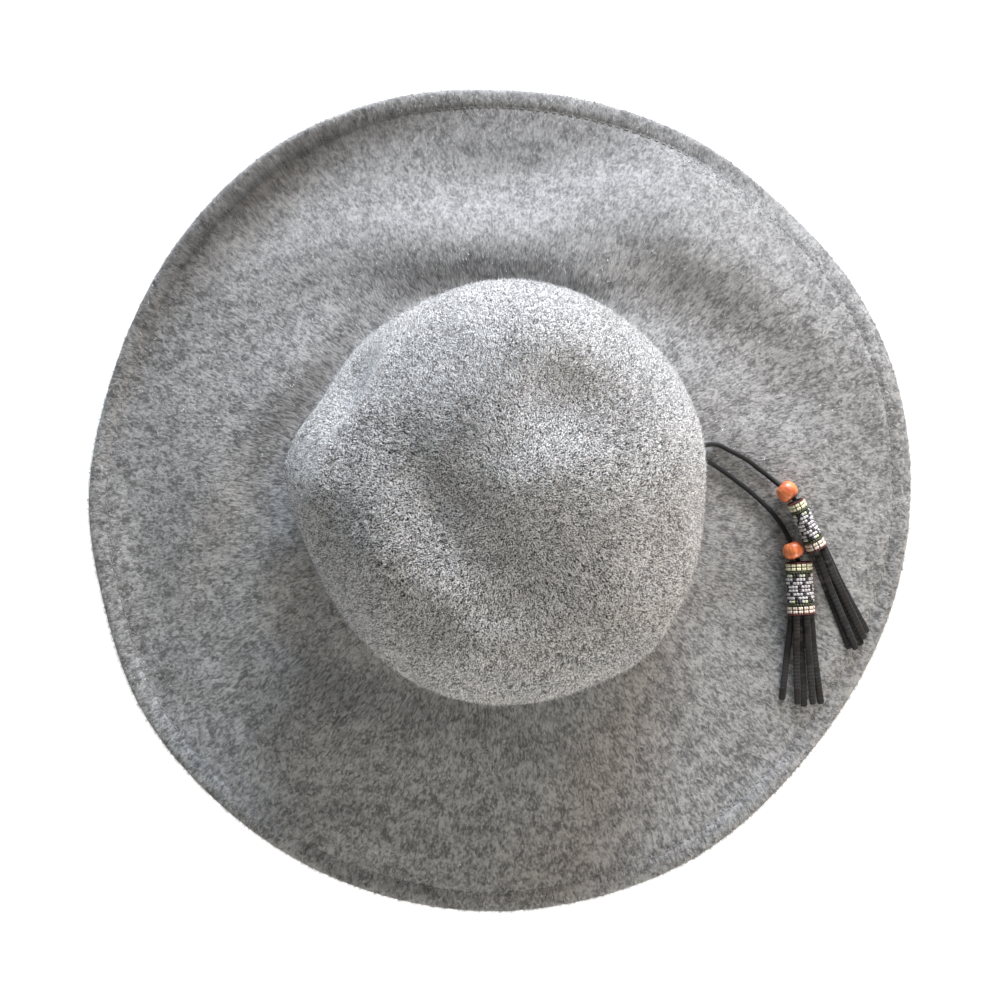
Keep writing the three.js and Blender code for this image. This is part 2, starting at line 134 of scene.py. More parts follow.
# Soft folds that finish the model's felt: place x and y of the middle, direction in degrees, half
# length, half width and lift, lengths in mm. Apart from the crown's rows at (-68, 44), (-67, 54)
# and (-84, 5), they are rounded results of fits to the photo's shading.
CROWN_FOLDS = [
    (21, 1, -39, 47, 32, -2.7),
    (-32, -4, 91, 25, 17, -1.0),
    (36, 73, -30, 34, 17, 3.8),
    (62, 6, 111, 29, 11, -2.0),
    (1, -66, 16, 40, 12, 2.7),
    (-55, -32, -51, 25, 11, 1.9),
    (-5, 81, 4, 33, 15, 3.5),
    (-29, -42, -59, 33, 14, 2.4),
    (-68, 44, 62, 30, 7, 2.0),
    (-67, 54, 58, 16, 6, -5.0),
    (-84, 5, 80, 22, 9, 6.5),
    (-53, -20, 66, 24, 14, 1.8),
    (16, 24, 20, 28, 13, -1.2),
    (-52, -56, -33, 25, 13, 1.4),
    (40, -56, 36, 26, 13, -1.1),
    (-50, 57, 46, 26, 12, -1.1),
    (31, -32, 49, 22, 13, -1.2),
    (-21, 69, 22, 26, 13, -0.8),
    (-10, -71, 3, 24, 13, 0.9),
    (-4, -1, -61, 23, 12, -0.8),
    (-26, 27, 62, 19, 11, 0.7),
]
# Folds of the crown's wall: direction from the middle and its spread in degrees, height and its
# spread, and push outwards, lengths in mm
WALL_FOLDS = [
    (162, 16, 62, 13, 2.2),
    (151, 13, 81, 8, -7.0),
    (133, 13, 52, 14, 2.5),
    (312, 13, 58, 16, 2.5),
]
BRIM_FOLDS = [
    (-99, 155, 53, 47, 18, -3.1),
    (93, 139, -50, 56, 31, 4.2),
    (10, 155, 13, 39, 17, -2.4),
    (32, 95, -15, 30, 11, -3.6),
    (-24, 97, 10, 34, 15, -3.3),
    (66, 98, -48, 21, 14, -1.3),
    (139, 50, -72, 28, 20, -2.9),
    (-90, 70, 59, 31, 10, 1.8),
    (-157, 90, 62, 37, 17, -0.7),
    (-138, 25, 86, 25, 14, 0.8),
    (-194, -35, 99, 37, 12, 2.1),
    (-99, -17, 75, 35, 12, 3.0),
    (-120, -104, -84, 39, 15, -2.2),
    (0, -125, -14, 59, 21, 3.7),
    (145, -109, 42, 28, 13, -1.8),
    (185, 60, -77, 31, 13, 1.6),
    (110, 153, -37, 29, 12, 1.6),
    (178, -47, 76, 25, 14, -1.6),
    (-112, 45, 57, 29, 12, 1.3),
    (67, -177, 18, 28, 13, 1.3),
    (-154, -34, 88, 30, 13, 1.2),
    (101, 113, -25, 28, 12, 1.3),
    (55, 169, -26, 25, 11, -1.3),
    (-121, 151, 52, 26, 12, 1.3),
    (-172, 64, 78, 25, 14, -1.2),
    (-47, 127, 8, 24, 11, 1.3),
    (-100, 117, 25, 21, 14, 1.3),
    (-131, -81, -77, 28, 12, -0.9),
    (-139, 3, 85, 25, 13, 1.0),
    (95, -78, 54, 23, 16, 1.0),
    (5, 131, 1, 23, 14, 1.0),
    (-6, 155, -6, 25, 10, 0.8),
    (146, 84, -37, 24, 12, 0.7),
    (-86, -77, -25, 30, 10, -2.7),
    (-68, -163, -21, 28, 9, 2.3),
    (-123, -90, -74, 28, 14, -1.8),
    (-105, -61, -60, 26, 13, -1.9),
    (-104, -138, -37, 23, 13, -1.6),
    (-128, -114, -53, 26, 14, -1.3),
    (-62, -108, -25, 26, 13, 1.1),
    (-91, -115, -46, 25, 13, 1.1),
    (-155, -85, -56, 20, 13, 1.3),
    (2, -127, 0, 24, 12, -0.9),
]

# Where the nap turns on the crown, as the wool was brushed, and how wide that place is
WHORL = (7.0 * MM, 4.0 * MM)
WHORL_CORE = 12 * MM
# How often the wool's tone changes round the whorl, away from it and downwards, the last two for
# each metre
BROAD_TUFTS = (75.0, 250.0, 200.0)
THIN_TUFTS = (140.0, 430.0, 400.0)

# Plumb lines start above the brim and under the crown's top
PLUMB_TOP = 80 * MM
# Vertices nearer to each other than this are one
MERGE = 0.01 * MM

# The hem's stitches: their number, the share of its place that each takes, how its points lie
# beside the felt, and its thread
HEM_STITCHES = 300
STITCH_SHARE = 0.72
STITCH_DIPS = (-0.5 * MM, 0.05 * MM, 0.2 * MM, 0.05 * MM, -0.5 * MM)
STITCH_THREAD = 0.55 * MM

# An area of loose fibres: length and width of a fibre, its thickness beside its width, how far its
# direction drifts, follows its tuft and scatters, how far it rises from the felt in radians, its
# usual tone from dark to light, how much of its tone is its own or its clump's, and where tones
# draw together towards +Y, where the key light falls, as painted light for the lit side's grain
NAP = {
    "crown": {
        "long": 2.3 * MM,
        "wide": 0.24 * MM,
        "flat": 0.6,
        "drift": 1.6,
        "tufts": 1.0,
        "scatter": 0.50,
        "rise": 0.34,
        "tone": 0.50,
        "own": 1.50,
        "clump": 0.65,
        "lit_side_calm": (-10 * MM, 60 * MM),
    },
    "brim": {
        "long": 2.1 * MM,
        "wide": 0.42 * MM,
        "flat": 0.3,
        "drift": 1.4,
        "tufts": 0.5,
        "scatter": 0.60,
        "rise": 0.05,
        "tone": 0.36,
        "own": 0.22,
        "clump": 0.78,
        "lit_side_calm": (60 * MM, 140 * MM),
    },
    "rim": {
        "long": 2.2 * MM,
        "wide": 0.14 * MM,
        "flat": 0.8,
        "drift": 0.5,
        "tufts": 0.4,
        "scatter": 0.45,
        "rise": 0.70,
        "tone": 0.48,
        "own": 0.55,
        "clump": 0.45,
        "lit_side_calm": (100 * MM, 190 * MM),
    },
}

# A strip: place of its root across the sleeve, place of its tip, and the layer it lies in
STRIPS = {
    "upper": [
        (-2.6 * MM, (0.1694, -0.0723), 0),
        (-0.9 * MM, (0.1725, -0.0726), 1),
        (0.9 * MM, (0.1754, -0.0706), 0),
        (2.3 * MM, (0.1766, -0.0676), 1),
        (3.3 * MM, (0.1783, -0.0644), 0),
    ],
    "lower": [
        (-4.8 * MM, (0.1361, -0.0968), 0),
        (-2.4 * MM, (0.1437, -0.0990), 1),
        (0.0 * MM, (0.1471, -0.1002), 0),
        (2.4 * MM, (0.1512, -0.0990), 1),
        (4.8 * MM, (0.1555, -0.0990), 0),
    ],
}

# The sleeve's weave from its top ring down. Letters: r red thread, c cream, p pinkish cream, o dark
# olive, g pale green, w white, k black. A ring's shift moves it round by half beads, its height is
# beside the usual one.
WEAVE = [
    ("r", 0, 0.35),
    ("c", 0, 1.0),
    ("c", 0, 1.0),
    ("o", 1, 0.8),
    ("gwkk", 0, 1.0),
    ("wwwk", 0, 1.0),
    ("wwwk", 2, 1.0),
    ("wwwk", 5, 1.0),
    ("wwwk", 5, 1.0),
    ("wwwk", 2, 1.0),
    ("wwwk", -1, 1.0),
    ("gwkk", -1, 1.0),
    ("o", 1, 0.8),
    ("p", 0, 1.0),
    ("p", 0, 1.0),
    ("r", 0, 0.35),
]

# Steps in which an oval ring of beads is measured
TURN_STEPS = 720

BEAD_COLOURS = {
    "c": (0.84, 0.81, 0.58),
    "p": (0.84, 0.71, 0.62),
    "o": (0.040, 0.046, 0.012),
    "g": (0.66, 0.74, 0.46),
    "w": (0.60, 0.575, 0.61),
    "k": (0.006, 0.006, 0.008),
    "r": (0.12, 0.010, 0.018),
}

# A light: where it stands from +X towards +Y and above the floor in degrees, how far away and how
# wide in metres, and its colour
LIGHTS = {
    "key": (80, 16, 4.0, 1.9, (0.79, 0.89, 1.0)),
    "second": (60, 20, 4.0, 1.9, (1.0, 0.72, 0.48)),
    "fill": (-56, 15, 3.0, 1.4, (1.0, 0.93, 0.82)),
    "side": (152, 18, 3.0, 1.6, (0.68, 0.86, 1.0)),
}


def colour_setting(name, description, default):
    return FloatVectorProperty(
        name=name,
        description=description,
        subtype="COLOR",
        size=3,
        min=0.0,
        max=1.0,
        default=default,
    )


def length_setting(name, description, default):
    return FloatProperty(name=name, description=description, unit="LENGTH", default=default)


def fibre_setting(name, description, default):
    return IntProperty(name=name, description=description, min=0, max=49000, default=default)


def column_setting(name, description, default):
    return IntProperty(name=name, description=description, min=8, max=40, default=default)


def light_setting(name, description, default):
    return FloatProperty(name=name, description=description, min=0.0, default=default)


class FeltSettings(bpy.types.PropertyGroup):
    """The blocked felt and its nap."""

    light: colour_setting("Light fibres", "Colour of the light wool fibres", (0.70, 0.70, 0.71))
    dark: colour_setting("Dark fibres", "Colour of the dark wool fibres", (0.060, 0.060, 0.062))
    crown_fibres: fibre_setting("Crown fibres", "Loose fibres in each crown piece", 46000)
    brim_fibres: fibre_setting("Brim fibres", "Loose fibres on each half of the brim", 24000)
    rim_fibres: fibre_setting("Rim fibres", "Loose fibres on the hem and under it", 30000)


class LaceSettings(bpy.types.PropertyGroup):
    """The black lace, its band, knot and tails."""

    colour: colour_setting("Lace", "Colour of the lace", (0.012, 0.012, 0.013))


class BeadSettings(bpy.types.PropertyGroup):
    """The two wooden beads."""

    wood: colour_setting("Wood", "Colour of the stained wood", (0.80, 0.235, 0.075))
    grain: colour_setting("Grain", "Colour of the wood's darker grain", (0.46, 0.085, 0.03))
    hole: length_setting("Hole", "Diameter of the drilled hole", 3.7 * MM)


class SleeveSettings(bpy.types.PropertyGroup):
    """The sleeves of seed beads."""

    columns: column_setting("Columns", "Seed beads round a ring of the pattern", 20)
    end_columns: column_setting("End columns", "Seed beads round a plain ring at an end", 24)
    fill: FloatProperty(
        name="Fill",
        description="How much of its place a seed bead takes",
        min=0.5,
        max=1.0,
        default=0.95,
    )


class TasselSettings(bpy.types.PropertyGroup):
    """The suede strips."""

    colour: colour_setting("Suede", "Colour of the strips", (0.014, 0.0125, 0.0135))
    width: length_setting("Strip width", "Width of a strip", 3.4 * MM)
    thickness: length_setting("Strip thickness", "Thickness of a strip", 1.2 * MM)


class StageSettings(bpy.types.PropertyGroup):
    """Floor, lights and camera."""

    camera_height: length_setting("Camera height", "Height of the camera above the floor", 1.1)
    lens: FloatProperty(
        name="Lens",
        description="Focal length in millimetres on a 36 mm sensor",
        default=81.28,
    )
    key_power: light_setting("Key power", "Watts of the cool key light", 374.0)
    second_power: light_setting("Second power", "Watts of the warm light beside the key", 106.0)
    fill_power: light_setting("Fill power", "Watts of the low fill light", 64.0)
    side_power: light_setting("Side power", "Watts of the weak cool light at the side", 3.0)
    ambient: light_setting("Ambient", "Strength of the light from all round", 0.33)


class Number:
    """A shader socket that plain expressions can use."""

    def __init__(self, finish, socket):
        self.finish = finish
        self.socket = socket

    def maths(self, operation, *values):
        sockets = dict(enumerate(values))
        return self.finish.node("ShaderNodeMath", {"operation": operation}, sockets)

    def __add__(self, other):
        return self.maths("ADD", self, other)

    def __radd__(self, other):
        return self.maths("ADD", other, self)

    def __sub__(self, other):
        return self.maths("SUBTRACT", self, other)

    def __rsub__(self, other):
        return self.maths("SUBTRACT", other, self)

    def __mul__(self, other):
        return self.maths("MULTIPLY", self, other)

    def __rmul__(self, other):
        return self.maths("MULTIPLY", other, self)

    def __truediv__(self, other):
        return self.maths("DIVIDE", self, other)

    def __rtruediv__(self, other):
        return self.maths("DIVIDE", other, self)

    def __pow__(self, other):
        return self.maths("POWER", self, other)


class Finish:
    """A material and the nodes that make it."""

    def __init__(self, name):
        self.material = bpy.data.materials.new(name)
        self.material.use_nodes = True
        self.tree = self.material.node_tree
        self.tree.nodes.clear()

    def node(self, kind, settings=None, sockets=None, out=0):
        """Adds a node: its settings first, then the values or links of its sockets."""
        made = self.tree.nodes.new(kind)
        for key, value in (settings or {}).items():
            if key == "stops":
                self.fill_ramp(made.color_ramp, value)
            else:
                setattr(made, key, value)
        for key, value in (sockets or {}).items():
            target = made.inputs[key]
            if isinstance(value, Number):
                self.tree.links.new(value.socket, target)
            else:
                target.default_value = value
        return Number(self, made.outputs[out]) if made.outputs else made

    def fill_ramp(self, ramp, stops):
        while len(ramp.elements) < len(stops):
            ramp.elements.new(1.0)
        for element, (place, colour) in zip(ramp.elements, stops, strict=True):
            element.position = place
            element.color = colour

    def places(self, kind="Object"):
        return self.node("ShaderNodeTexCoord", out=kind)

    def apart(self, vector):
        split = self.node("ShaderNodeSeparateXYZ", sockets={0: vector})
        outputs = split.socket.node.outputs
        return [Number(self, output) for output in outputs]

    def together(self, x, y, z):
        return self.node("ShaderNodeCombineXYZ", sockets={0: x, 1: y, 2: z})

    def cloud(self, vector, scale, detail=2.0, roughness=0.5, distortion=0.0):
        """Soft noise from 0 to 1."""
        sockets = {
            "Vector": vector,
            "Scale": scale,
            "Detail": detail,
            "Roughness": roughness,
            "Distortion": distortion,
        }
        return self.node("ShaderNodeTexNoise", {"noise_dimensions": "3D"}, sockets)

    def ranged(self, value, low, high, to_low=0.0, to_high=1.0):
        sockets = {0: value, 1: low, 2: high, 3: to_low, 4: to_high}
        settings = {"interpolation_type": "SMOOTHSTEP"}
        return self.node("ShaderNodeMapRange", settings, sockets)

    def blend(self, factor, first, second, mode="MIX"):
        settings = {"data_type": "RGBA", "blend_type": mode, "clamp_factor": True}
        return self.node("ShaderNodeMix", settings, {0: factor, 6: first, 7: second}, out=2)

    def bump(self, height, strength, distance, normal=None):
        sockets = {"Strength": strength, "Distance": distance, "Height": height}
        if normal:
            sockets["Normal"] = normal
        return self.node("ShaderNodeBump", sockets=sockets)

    def surface(self, **sockets):
        """Ends the material with one shader; names use _ for spaces."""
        named = {key.replace("_", " "): value for key, value in sockets.items()}
        shader = self.node("ShaderNodeBsdfPrincipled", sockets=named)
        self.node("ShaderNodeOutputMaterial", sockets={"Surface": shader})
        return self.material


def rgba(colour, share=1.0):
    return (colour[0] * share, colour[1] * share, colour[2] * share, 1.0)


def brushed(x, y, z, radius, tufts):
    """Coordinates that draw the wool's tufts out from the whorl, for a shader or for arrays."""
    turned, outward, down = tufts
    return x / radius * turned, y / radius * turned, radius * outward - z * down


def felt_finish(settings):
    """Heather grey felt: matted and mottled on the brim, open and grainy on the crown."""
    finish = Finish("heather_felt")
    place = finish.places()
    x, y, z = finish.apart(place)
    x = x - WHORL[0]
    y = y - WHORL[1]
    radius = (x * x + y * y) ** 0.5 + WHORL_CORE
    broad = finish.together(*brushed(x, y, z, radius, BROAD_TUFTS))
    mottle = finish.cloud(broad, 1.0, detail=3.0, roughness=0.62, distortion=1.0)
    thin = finish.together(*brushed(x, y, z, radius, THIN_TUFTS))
    streak = finish.cloud(thin, 1.0, detail=2.0, roughness=0.6, distortion=0.5)
    patches = finish.cloud(place, 150.0, detail=2.0, roughness=0.6, distortion=0.6)
    # Towards +Y, where the key light falls, the grain's contrast is lowered on the brim and the
    # crown: painted light for the lit side's softer look
    lit_side_calm = finish.ranged(finish.apart(place)[1], 60 * MM, 140 * MM, 1.0, 0.70)
    even = finish.ranged(finish.apart(place)[1], -10 * MM, 60 * MM, 1.0, 0.40)
    matted = (mottle * 0.36 + streak * 0.38 + patches * 0.26 - 0.5) * lit_side_calm + 0.5
    grain = finish.cloud(place, 1700.0, detail=2.0, roughness=0.7, distortion=0.3)
    open_wool = grain * 0.7 + mottle * 0.3
    crown = finish.ranged(z, 21 * MM, 30 * MM)
    soft = finish.ranged(matted, 0.38, 0.62)
    brim_colour = finish.blend(soft, rgba(settings.dark, 1.9), rgba(settings.light, 0.57))
    # The crown's grain runs from nearly black to light: its low places are dark wool with painted
    # shade in the gaps between fibres
    sharp = finish.ranged((open_wool - 0.5) * even + 0.5, 0.46, 0.56)
    crown_colour = finish.blend(sharp, rgba(settings.dark, 0.15), rgba(settings.light, 1.10))
    colour = finish.blend(crown, brim_colour, crown_colour)
    tufts = (streak * 0.6 + mottle * 0.4) * (1.0 - crown) * lit_side_calm
    normal = finish.bump(tufts + open_wool * crown * even * 2.2, 0.7, 0.7 * MM)
    return finish.surface(
        Base_Color=colour,
        Roughness=0.95,
        Specular_IOR_Level=0.1,
        Sheen_Weight=0.35,
        Sheen_Roughness=0.5,
        Sheen_Tint=(0.9, 0.9, 0.92, 1.0),
        Normal=normal,
    )


def nap_finish(settings):
    """Loose wool fibres, each with a tone of its own."""
    finish = Finish("wool_fibres")
    tone = finish.node("ShaderNodeAttribute", {"attribute_name": "tone"}, out="Fac")
    colour = finish.blend(tone, rgba(settings.dark, 0.45), rgba(settings.light, 1.06))
    return finish.surface(
        Base_Color=colour,
        Roughness=0.9,
        Specular_IOR_Level=0.05,
        Sheen_Weight=0.2,
        Sheen_Roughness=0.5,
    )


def stitch_finish(settings):
    finish = Finish("hem_thread")
    place = finish.places()
    ply = finish.cloud(place, 2500.0, detail=1.0)
    colour = finish.blend(ply, rgba(settings.dark, 2.0), rgba(settings.light, 0.5))
    normal = finish.bump(ply, 0.5, 0.1 * MM)
    return finish.surface(Base_Color=colour, Roughness=0.7, Normal=normal)


def lace_finish(settings):
    """Black lace with fine plies that run slantwise round it."""
    finish = Finish("black_lace")
    place = finish.places("UV")
    along, around, _ = finish.apart(place)
    turns = along * LACE_TURNS + around * LACE_PLIES
    ply = finish.node("ShaderNodeMath", {"operation": "SINE"}, {0: turns * math.tau})
    fuzz = finish.cloud(finish.places(), 2600.0, detail=2.0)
    height = ply * 0.35 + fuzz
    # Lighter on the plies' crests and darker in the grooves between them: painted shade in the
    # grooves, mixed with random fuzz
    share = finish.ranged(height, 0.2, 0.9)
    colour = finish.blend(share, rgba(settings.colour, 0.4), rgba(settings.colour, 1.5))
    normal = finish.bump(height, 0.6, 0.12 * MM)
    return finish.surface(
        Base_Color=colour,
        Roughness=0.6,
        Specular_IOR_Level=0.25,
        Sheen_Weight=0.05,
        Sheen_Roughness=0.4,
        Normal=normal,
    )


def wood_finish(settings, name, axis):
    """Stained and waxed wood, with its grain along the hole."""
    finish = Finish(name)
    turn = Vector((1, 0, 0)).rotation_difference(axis).inverted().to_euler()
    mapping = {"vector_type": "POINT"}
    place = finish.node("ShaderNodeMapping", mapping, {0: finish.places(), 2: turn})
    x, y, z = finish.apart(place)
    stretched = finish.together(x * 160.0, y * 1100.0, z * 1100.0)
    fine = finish.cloud(stretched, 1.0, detail=3.0, roughness=0.6, distortion=0.4)
    broad = finish.cloud(finish.together(x * 60.0, y * 300.0, z * 300.0), 1.0, detail=2.0)
    share = finish.ranged(fine * 0.6 + broad * 0.4, 0.35, 0.68)
    colour = finish.blend(share, rgba(settings.grain), rgba(settings.wood))
    pale = finish.ranged(broad, 0.5, 0.8, 0.0, 0.35)
    colour = finish.blend(pale, colour, (0.90, 0.40, 0.14, 1.0))
    normal = finish.bump(fine, 0.25, 0.08 * MM)
    return finish.surface(
        Base_Color=colour,
        Roughness=finish.ranged(fine, 0.3, 0.7, 0.52, 0.36),
        Coat_Weight=0.35,
        Coat_Roughness=0.3,
        Normal=normal,
    )


def seed_finish():
    """Glass seed beads, coloured bead by bead."""
    finish = Finish("seed_beads")
    colour = finish.node("ShaderNodeAttribute", {"attribute_name": "glass"}, out="Color")
    drift = finish.cloud(finish.places(), 700.0, detail=1.0)
    dull = finish.ranged(drift, 0.3, 0.7, 0.82, 1.0)
    shade = finish.node("ShaderNodeCombineColor", sockets={0: dull, 1: dull, 2: dull})
    return finish.surface(
        Base_Color=finish.blend(1.0, colour, shade, "MULTIPLY"),
        Roughness=finish.ranged(drift, 0.3, 0.7, 0.3, 0.42),
        Specular_IOR_Level=0.5,
        Coat_Weight=0.3,
        Coat_Roughness=0.15,
    )


def thread_finish():
    """Dark red thread at the sleeve's ends and between its beads."""
    finish = Finish("bead_thread")
    place = finish.places()
    ply = finish.cloud(place, 1800.0, detail=2.0)
    colour = finish.blend(ply, (0.004, 0.003, 0.004, 1.0), (0.020, 0.008, 0.010, 1.0))
    normal = finish.bump(ply, 0.6, 0.2 * MM)
    return finish.surface(Base_Color=colour, Roughness=0.8, Normal=normal)


def suede_finish(settings):
    """Black suede with a fine nap, lighter and darker in soft patches."""
    finish = Finish("black_suede")
    place = finish.places()
    nap = finish.cloud(place, 1600.0, detail=3.0, roughness=0.65)
    drift = finish.cloud(place, 120.0, detail=2.0)
    share = finish.ranged(nap * 0.6 + drift * 0.4, 0.35, 0.65)
    colour = finish.blend(share, rgba(settings.colour, 0.55), rgba(settings.colour, 1.7))
    normal = finish.bump(nap, 0.5, 0.15 * MM)
    return finish.surface(
        Base_Color=colour,
        Roughness=finish.ranged(drift, 0.3, 0.7, 0.62, 0.8),
        Specular_IOR_Level=0.35,
        Sheen_Weight=0.25,
        Sheen_Roughness=0.35,
        Sheen_Tint=(0.85, 0.82, 0.85, 1.0),
        Normal=normal,
    )


def floor_finish():
    """A pale sweep, bright as paper on a light table."""
    finish = Finish("pale_floor")
    drift = finish.cloud(finish.places(), 3.0)
    colour = finish.blend(drift, (0.55, 0.55, 0.55, 1.0), (0.60, 0.60, 0.60, 1.0))
    return finish.surface(
        Base_Color=colour,
        Roughness=0.9,
        Emission_Color=(1.0, 1.0, 1.0, 1.0),
        Emission_Strength=0.95,
    )


def put(name, data):
    """A new object in the scene, at its origin."""
    made = bpy.data.objects.new(name, data)
    bpy.context.scene.collection.objects.link(made)
    return made


def add_piece(name, mesh, material, replaced=()):
    """Shows a mesh as a piece of the hat. It stands for the CAD nodes that it replaces."""
    mesh.name = name
    mesh.materials.clear()
    mesh.materials.append(material)
    piece = put(name, mesh)
    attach(piece, BODY)
    for node in replaced:
        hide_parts(node)
    return piece


def as_mesh(shape, name, smooth=True):
    """Turns a bmesh into a mesh, and frees it."""
    mesh = bpy.data.meshes.new(name)
    shape.to_mesh(mesh)
    shape.free()
    if smooth:
        mesh.shade_smooth()
    return mesh


def absorb(shape, mesh):
    """Adds a mesh to a bmesh and removes the mesh."""
    shape.from_mesh(mesh)
    bpy.data.meshes.remove(mesh)


def weld(shape, distance=MERGE):
    """Joins the vertices that meet, and turns the normals outwards."""
    bmesh.ops.remove_doubles(shape, verts=shape.verts, dist=distance)
    bmesh.ops.recalc_face_normals(shape, faces=shape.faces)


def evaluated(holder):
    """The mesh that an object's modifiers or bevel give. The object itself is removed."""
    shaped = holder.evaluated_get(bpy.context.evaluated_depsgraph_get())
    mesh = bpy.data.meshes.new_from_object(shaped)
    bpy.data.objects.remove(holder)
    return mesh


def node_shape(name):
    """A merged copy of a CAD node's mesh, in quads where it can be."""
    shape = bmesh.new()
    shape.from_mesh(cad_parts[name].data)
    bmesh.ops.remove_doubles(shape, verts=shape.verts, dist=MERGE)
    bmesh.ops.join_triangles(
        shape,
        faces=shape.faces,
        angle_face_threshold=math.radians(70),
        angle_shape_threshold=math.radians(110),
    )
    return shape


def rounded(mesh, levels):
    """The mesh after some levels of subdivision."""
    holder = put("rounding", mesh)
    made = holder.modifiers.new("rounding", "SUBSURF")
    made.levels = levels
    made.render_levels = levels
    result = evaluated(holder)
    bpy.data.meshes.remove(mesh)
    return result


def vertex_values(mesh, kind="co"):
    """The vertices' places, or another vector of theirs, as an array."""
    found = np.empty(len(mesh.vertices) * 3, np.float32)
    mesh.vertices.foreach_get(kind, found)
    return found.reshape(-1, 3)


def lengths_along(route):
    """How long a route is up to each of its points."""
    lengths = [0.0]
    for before, after in zip(route, route[1:]):
        lengths.append(lengths[-1] + (after - before).length)
    return lengths


def smooth_route(points, count):
    """Evenly spread points on a smooth curve through some points."""
    knots = [Vector(point) for point in points]
    padded = [2 * knots[0] - knots[1], *knots, 2 * knots[-1] - knots[-2]]
    dense = []
    for k in range(1, len(padded) - 2):
        a, b, c, d = padded[k - 1 : k + 3]
        for step in range(12):
            t = step / 12
            curve = t * (2 * a - 5 * b + 4 * c - d + t * (3 * (b - c) + d - a))
            dense.append(b + 0.5 * t * (c - a + curve))
    dense.append(knots[-1])
    lengths = lengths_along(dense)
    route = []
    k = 0
    for step in range(count):
        wanted = lengths[-1] * step / (count - 1)
        while k < len(lengths) - 2 and lengths[k + 1] < wanted:
            k += 1
        share = (wanted - lengths[k]) / max(lengths[k + 1] - lengths[k], 1e-9)
        route.append(dense[k].lerp(dense[k + 1], share))
    return route


def tube_mesh(route, diameter, name, closed=False):
    """A round tube along a route, closed at its ends."""
    curve = bpy.data.curves.new(name, "CURVE")
    curve.dimensions = "3D"
    curve.bevel_depth = diameter / 2
    curve.bevel_resolution = 3
    curve.use_fill_caps = not closed
    spline = curve.splines.new("POLY")
    spline.points.add(len(route) - 1)
    spline.use_cyclic_u = closed
    for point, place in zip(spline.points, route, strict=True):
        point.co = (*place, 1.0)
    mesh = evaluated(put(name, curve))
    bpy.data.curves.remove(curve)
    shape = bmesh.new()
    absorb(shape, mesh)
    weld(shape)
    return as_mesh(shape, name)


def spun(section, steps, merge):
    """A ring of points, each its distance from the middle line and its height, spun round +Z."""
    shape = bmesh.new()
    verts = [shape.verts.new((across, 0.0, up)) for across, up in section]
    edges = [shape.edges.new(pair) for pair in zip(verts, verts[1:] + verts[:1])]
    bmesh.ops.spin(
        shape,
        geom=verts + edges,
        cent=(0, 0, 0),
        axis=(0, 0, 1),
        angle=math.tau,
        steps=steps,
        use_merge=True,
    )
    weld(shape, merge)
    return shape


def corners_and_faces(shape):
    """The vertices of a bmesh and its faces' vertex numbers, as arrays. It is freed."""
    shape.verts.ensure_lookup_table()
    corners = np.array([vertex.co[:] for vertex in shape.verts])
    faces = np.array([[vertex.index for vertex in face.verts] for face in shape.faces])
    shape.free()
    return corners, faces


def placed(across, up, ahead, place):
    """The matrix that turns X, Y and Z to three directions and moves the middle to a place."""
    matrix = Matrix((across, up, ahead)).transposed().to_4x4()
    matrix.translation = place
    return matrix


def ramp(values, low, high):
    """From 0 at low to 1 at high, smoothly."""
    share = np.clip((values - low) / (high - low), 0.0, 1.0)
    return share * share * (3 - 2 * share)


def fold_lift(places, folds):
    lift = np.zeros(len(places))
    for x, y, turn, long, across, up in folds:
        c, s = math.cos(math.radians(turn)), math.sin(math.radians(turn))
        dx = places[:, 0] / MM - x
        dy = places[:, 1] / MM - y
        far = ((dx * c + dy * s) / long) ** 2 + ((dy * c - dx * s) / across) ** 2
        lift += up * MM * np.exp(-far)
    return lift


def wall_push(places):
    """How far the crown's wall moves outwards."""
    turn = np.degrees(np.arctan2(places[:, 1], places[:, 0]))
    push = np.zeros(len(places))
    for middle, spread, height, rise, out in WALL_FOLDS:
        aside = (turn - middle + 180) % 360 - 180
        above = places[:, 2] / MM - height
        push += out * MM * np.exp(-((aside / spread) ** 2) - (above / rise) ** 2)
    return push * (reach(places) < 112 * MM)


def folded(places, normals):
    """Lift of the felt: folds of the crown's top and of the brim, none under the laces."""
    height = places[:, 2]
    top = fold_lift(places, CROWN_FOLDS) * ramp(height, 50 * MM, 70 * MM)
    brim = fold_lift(places, BRIM_FOLDS) * (1 - ramp(height, 24 * MM, 34 * MM))
    from_laces = np.hypot(places[:, 0] - 128 * MM, places[:, 1] + 5 * MM)
    brim *= ramp(from_laces, 24 * MM, 50 * MM)
    under = height - np.where(normals[:, 2] > 0, 2.8 * MM, 0.0)
    resting = ramp(reach(places), 182 * MM, 196 * MM) * (1 - ramp(under, 1 * MM, 6 * MM))
    brim *= 1 - resting
    return top + np.maximum(brim, -np.maximum(under - 0.3 * MM, 0.0))


def noise_at(places, scale, shift=(0.0, 0.0, 0.0)):
    return np.array([noise.noise(Vector(place) * scale + Vector(shift)) for place in places])


def fractal_at(places, scale, octaves):
    return np.array([noise.fractal(Vector(place) * scale, 0.8, 2.0, octaves) for place in places])


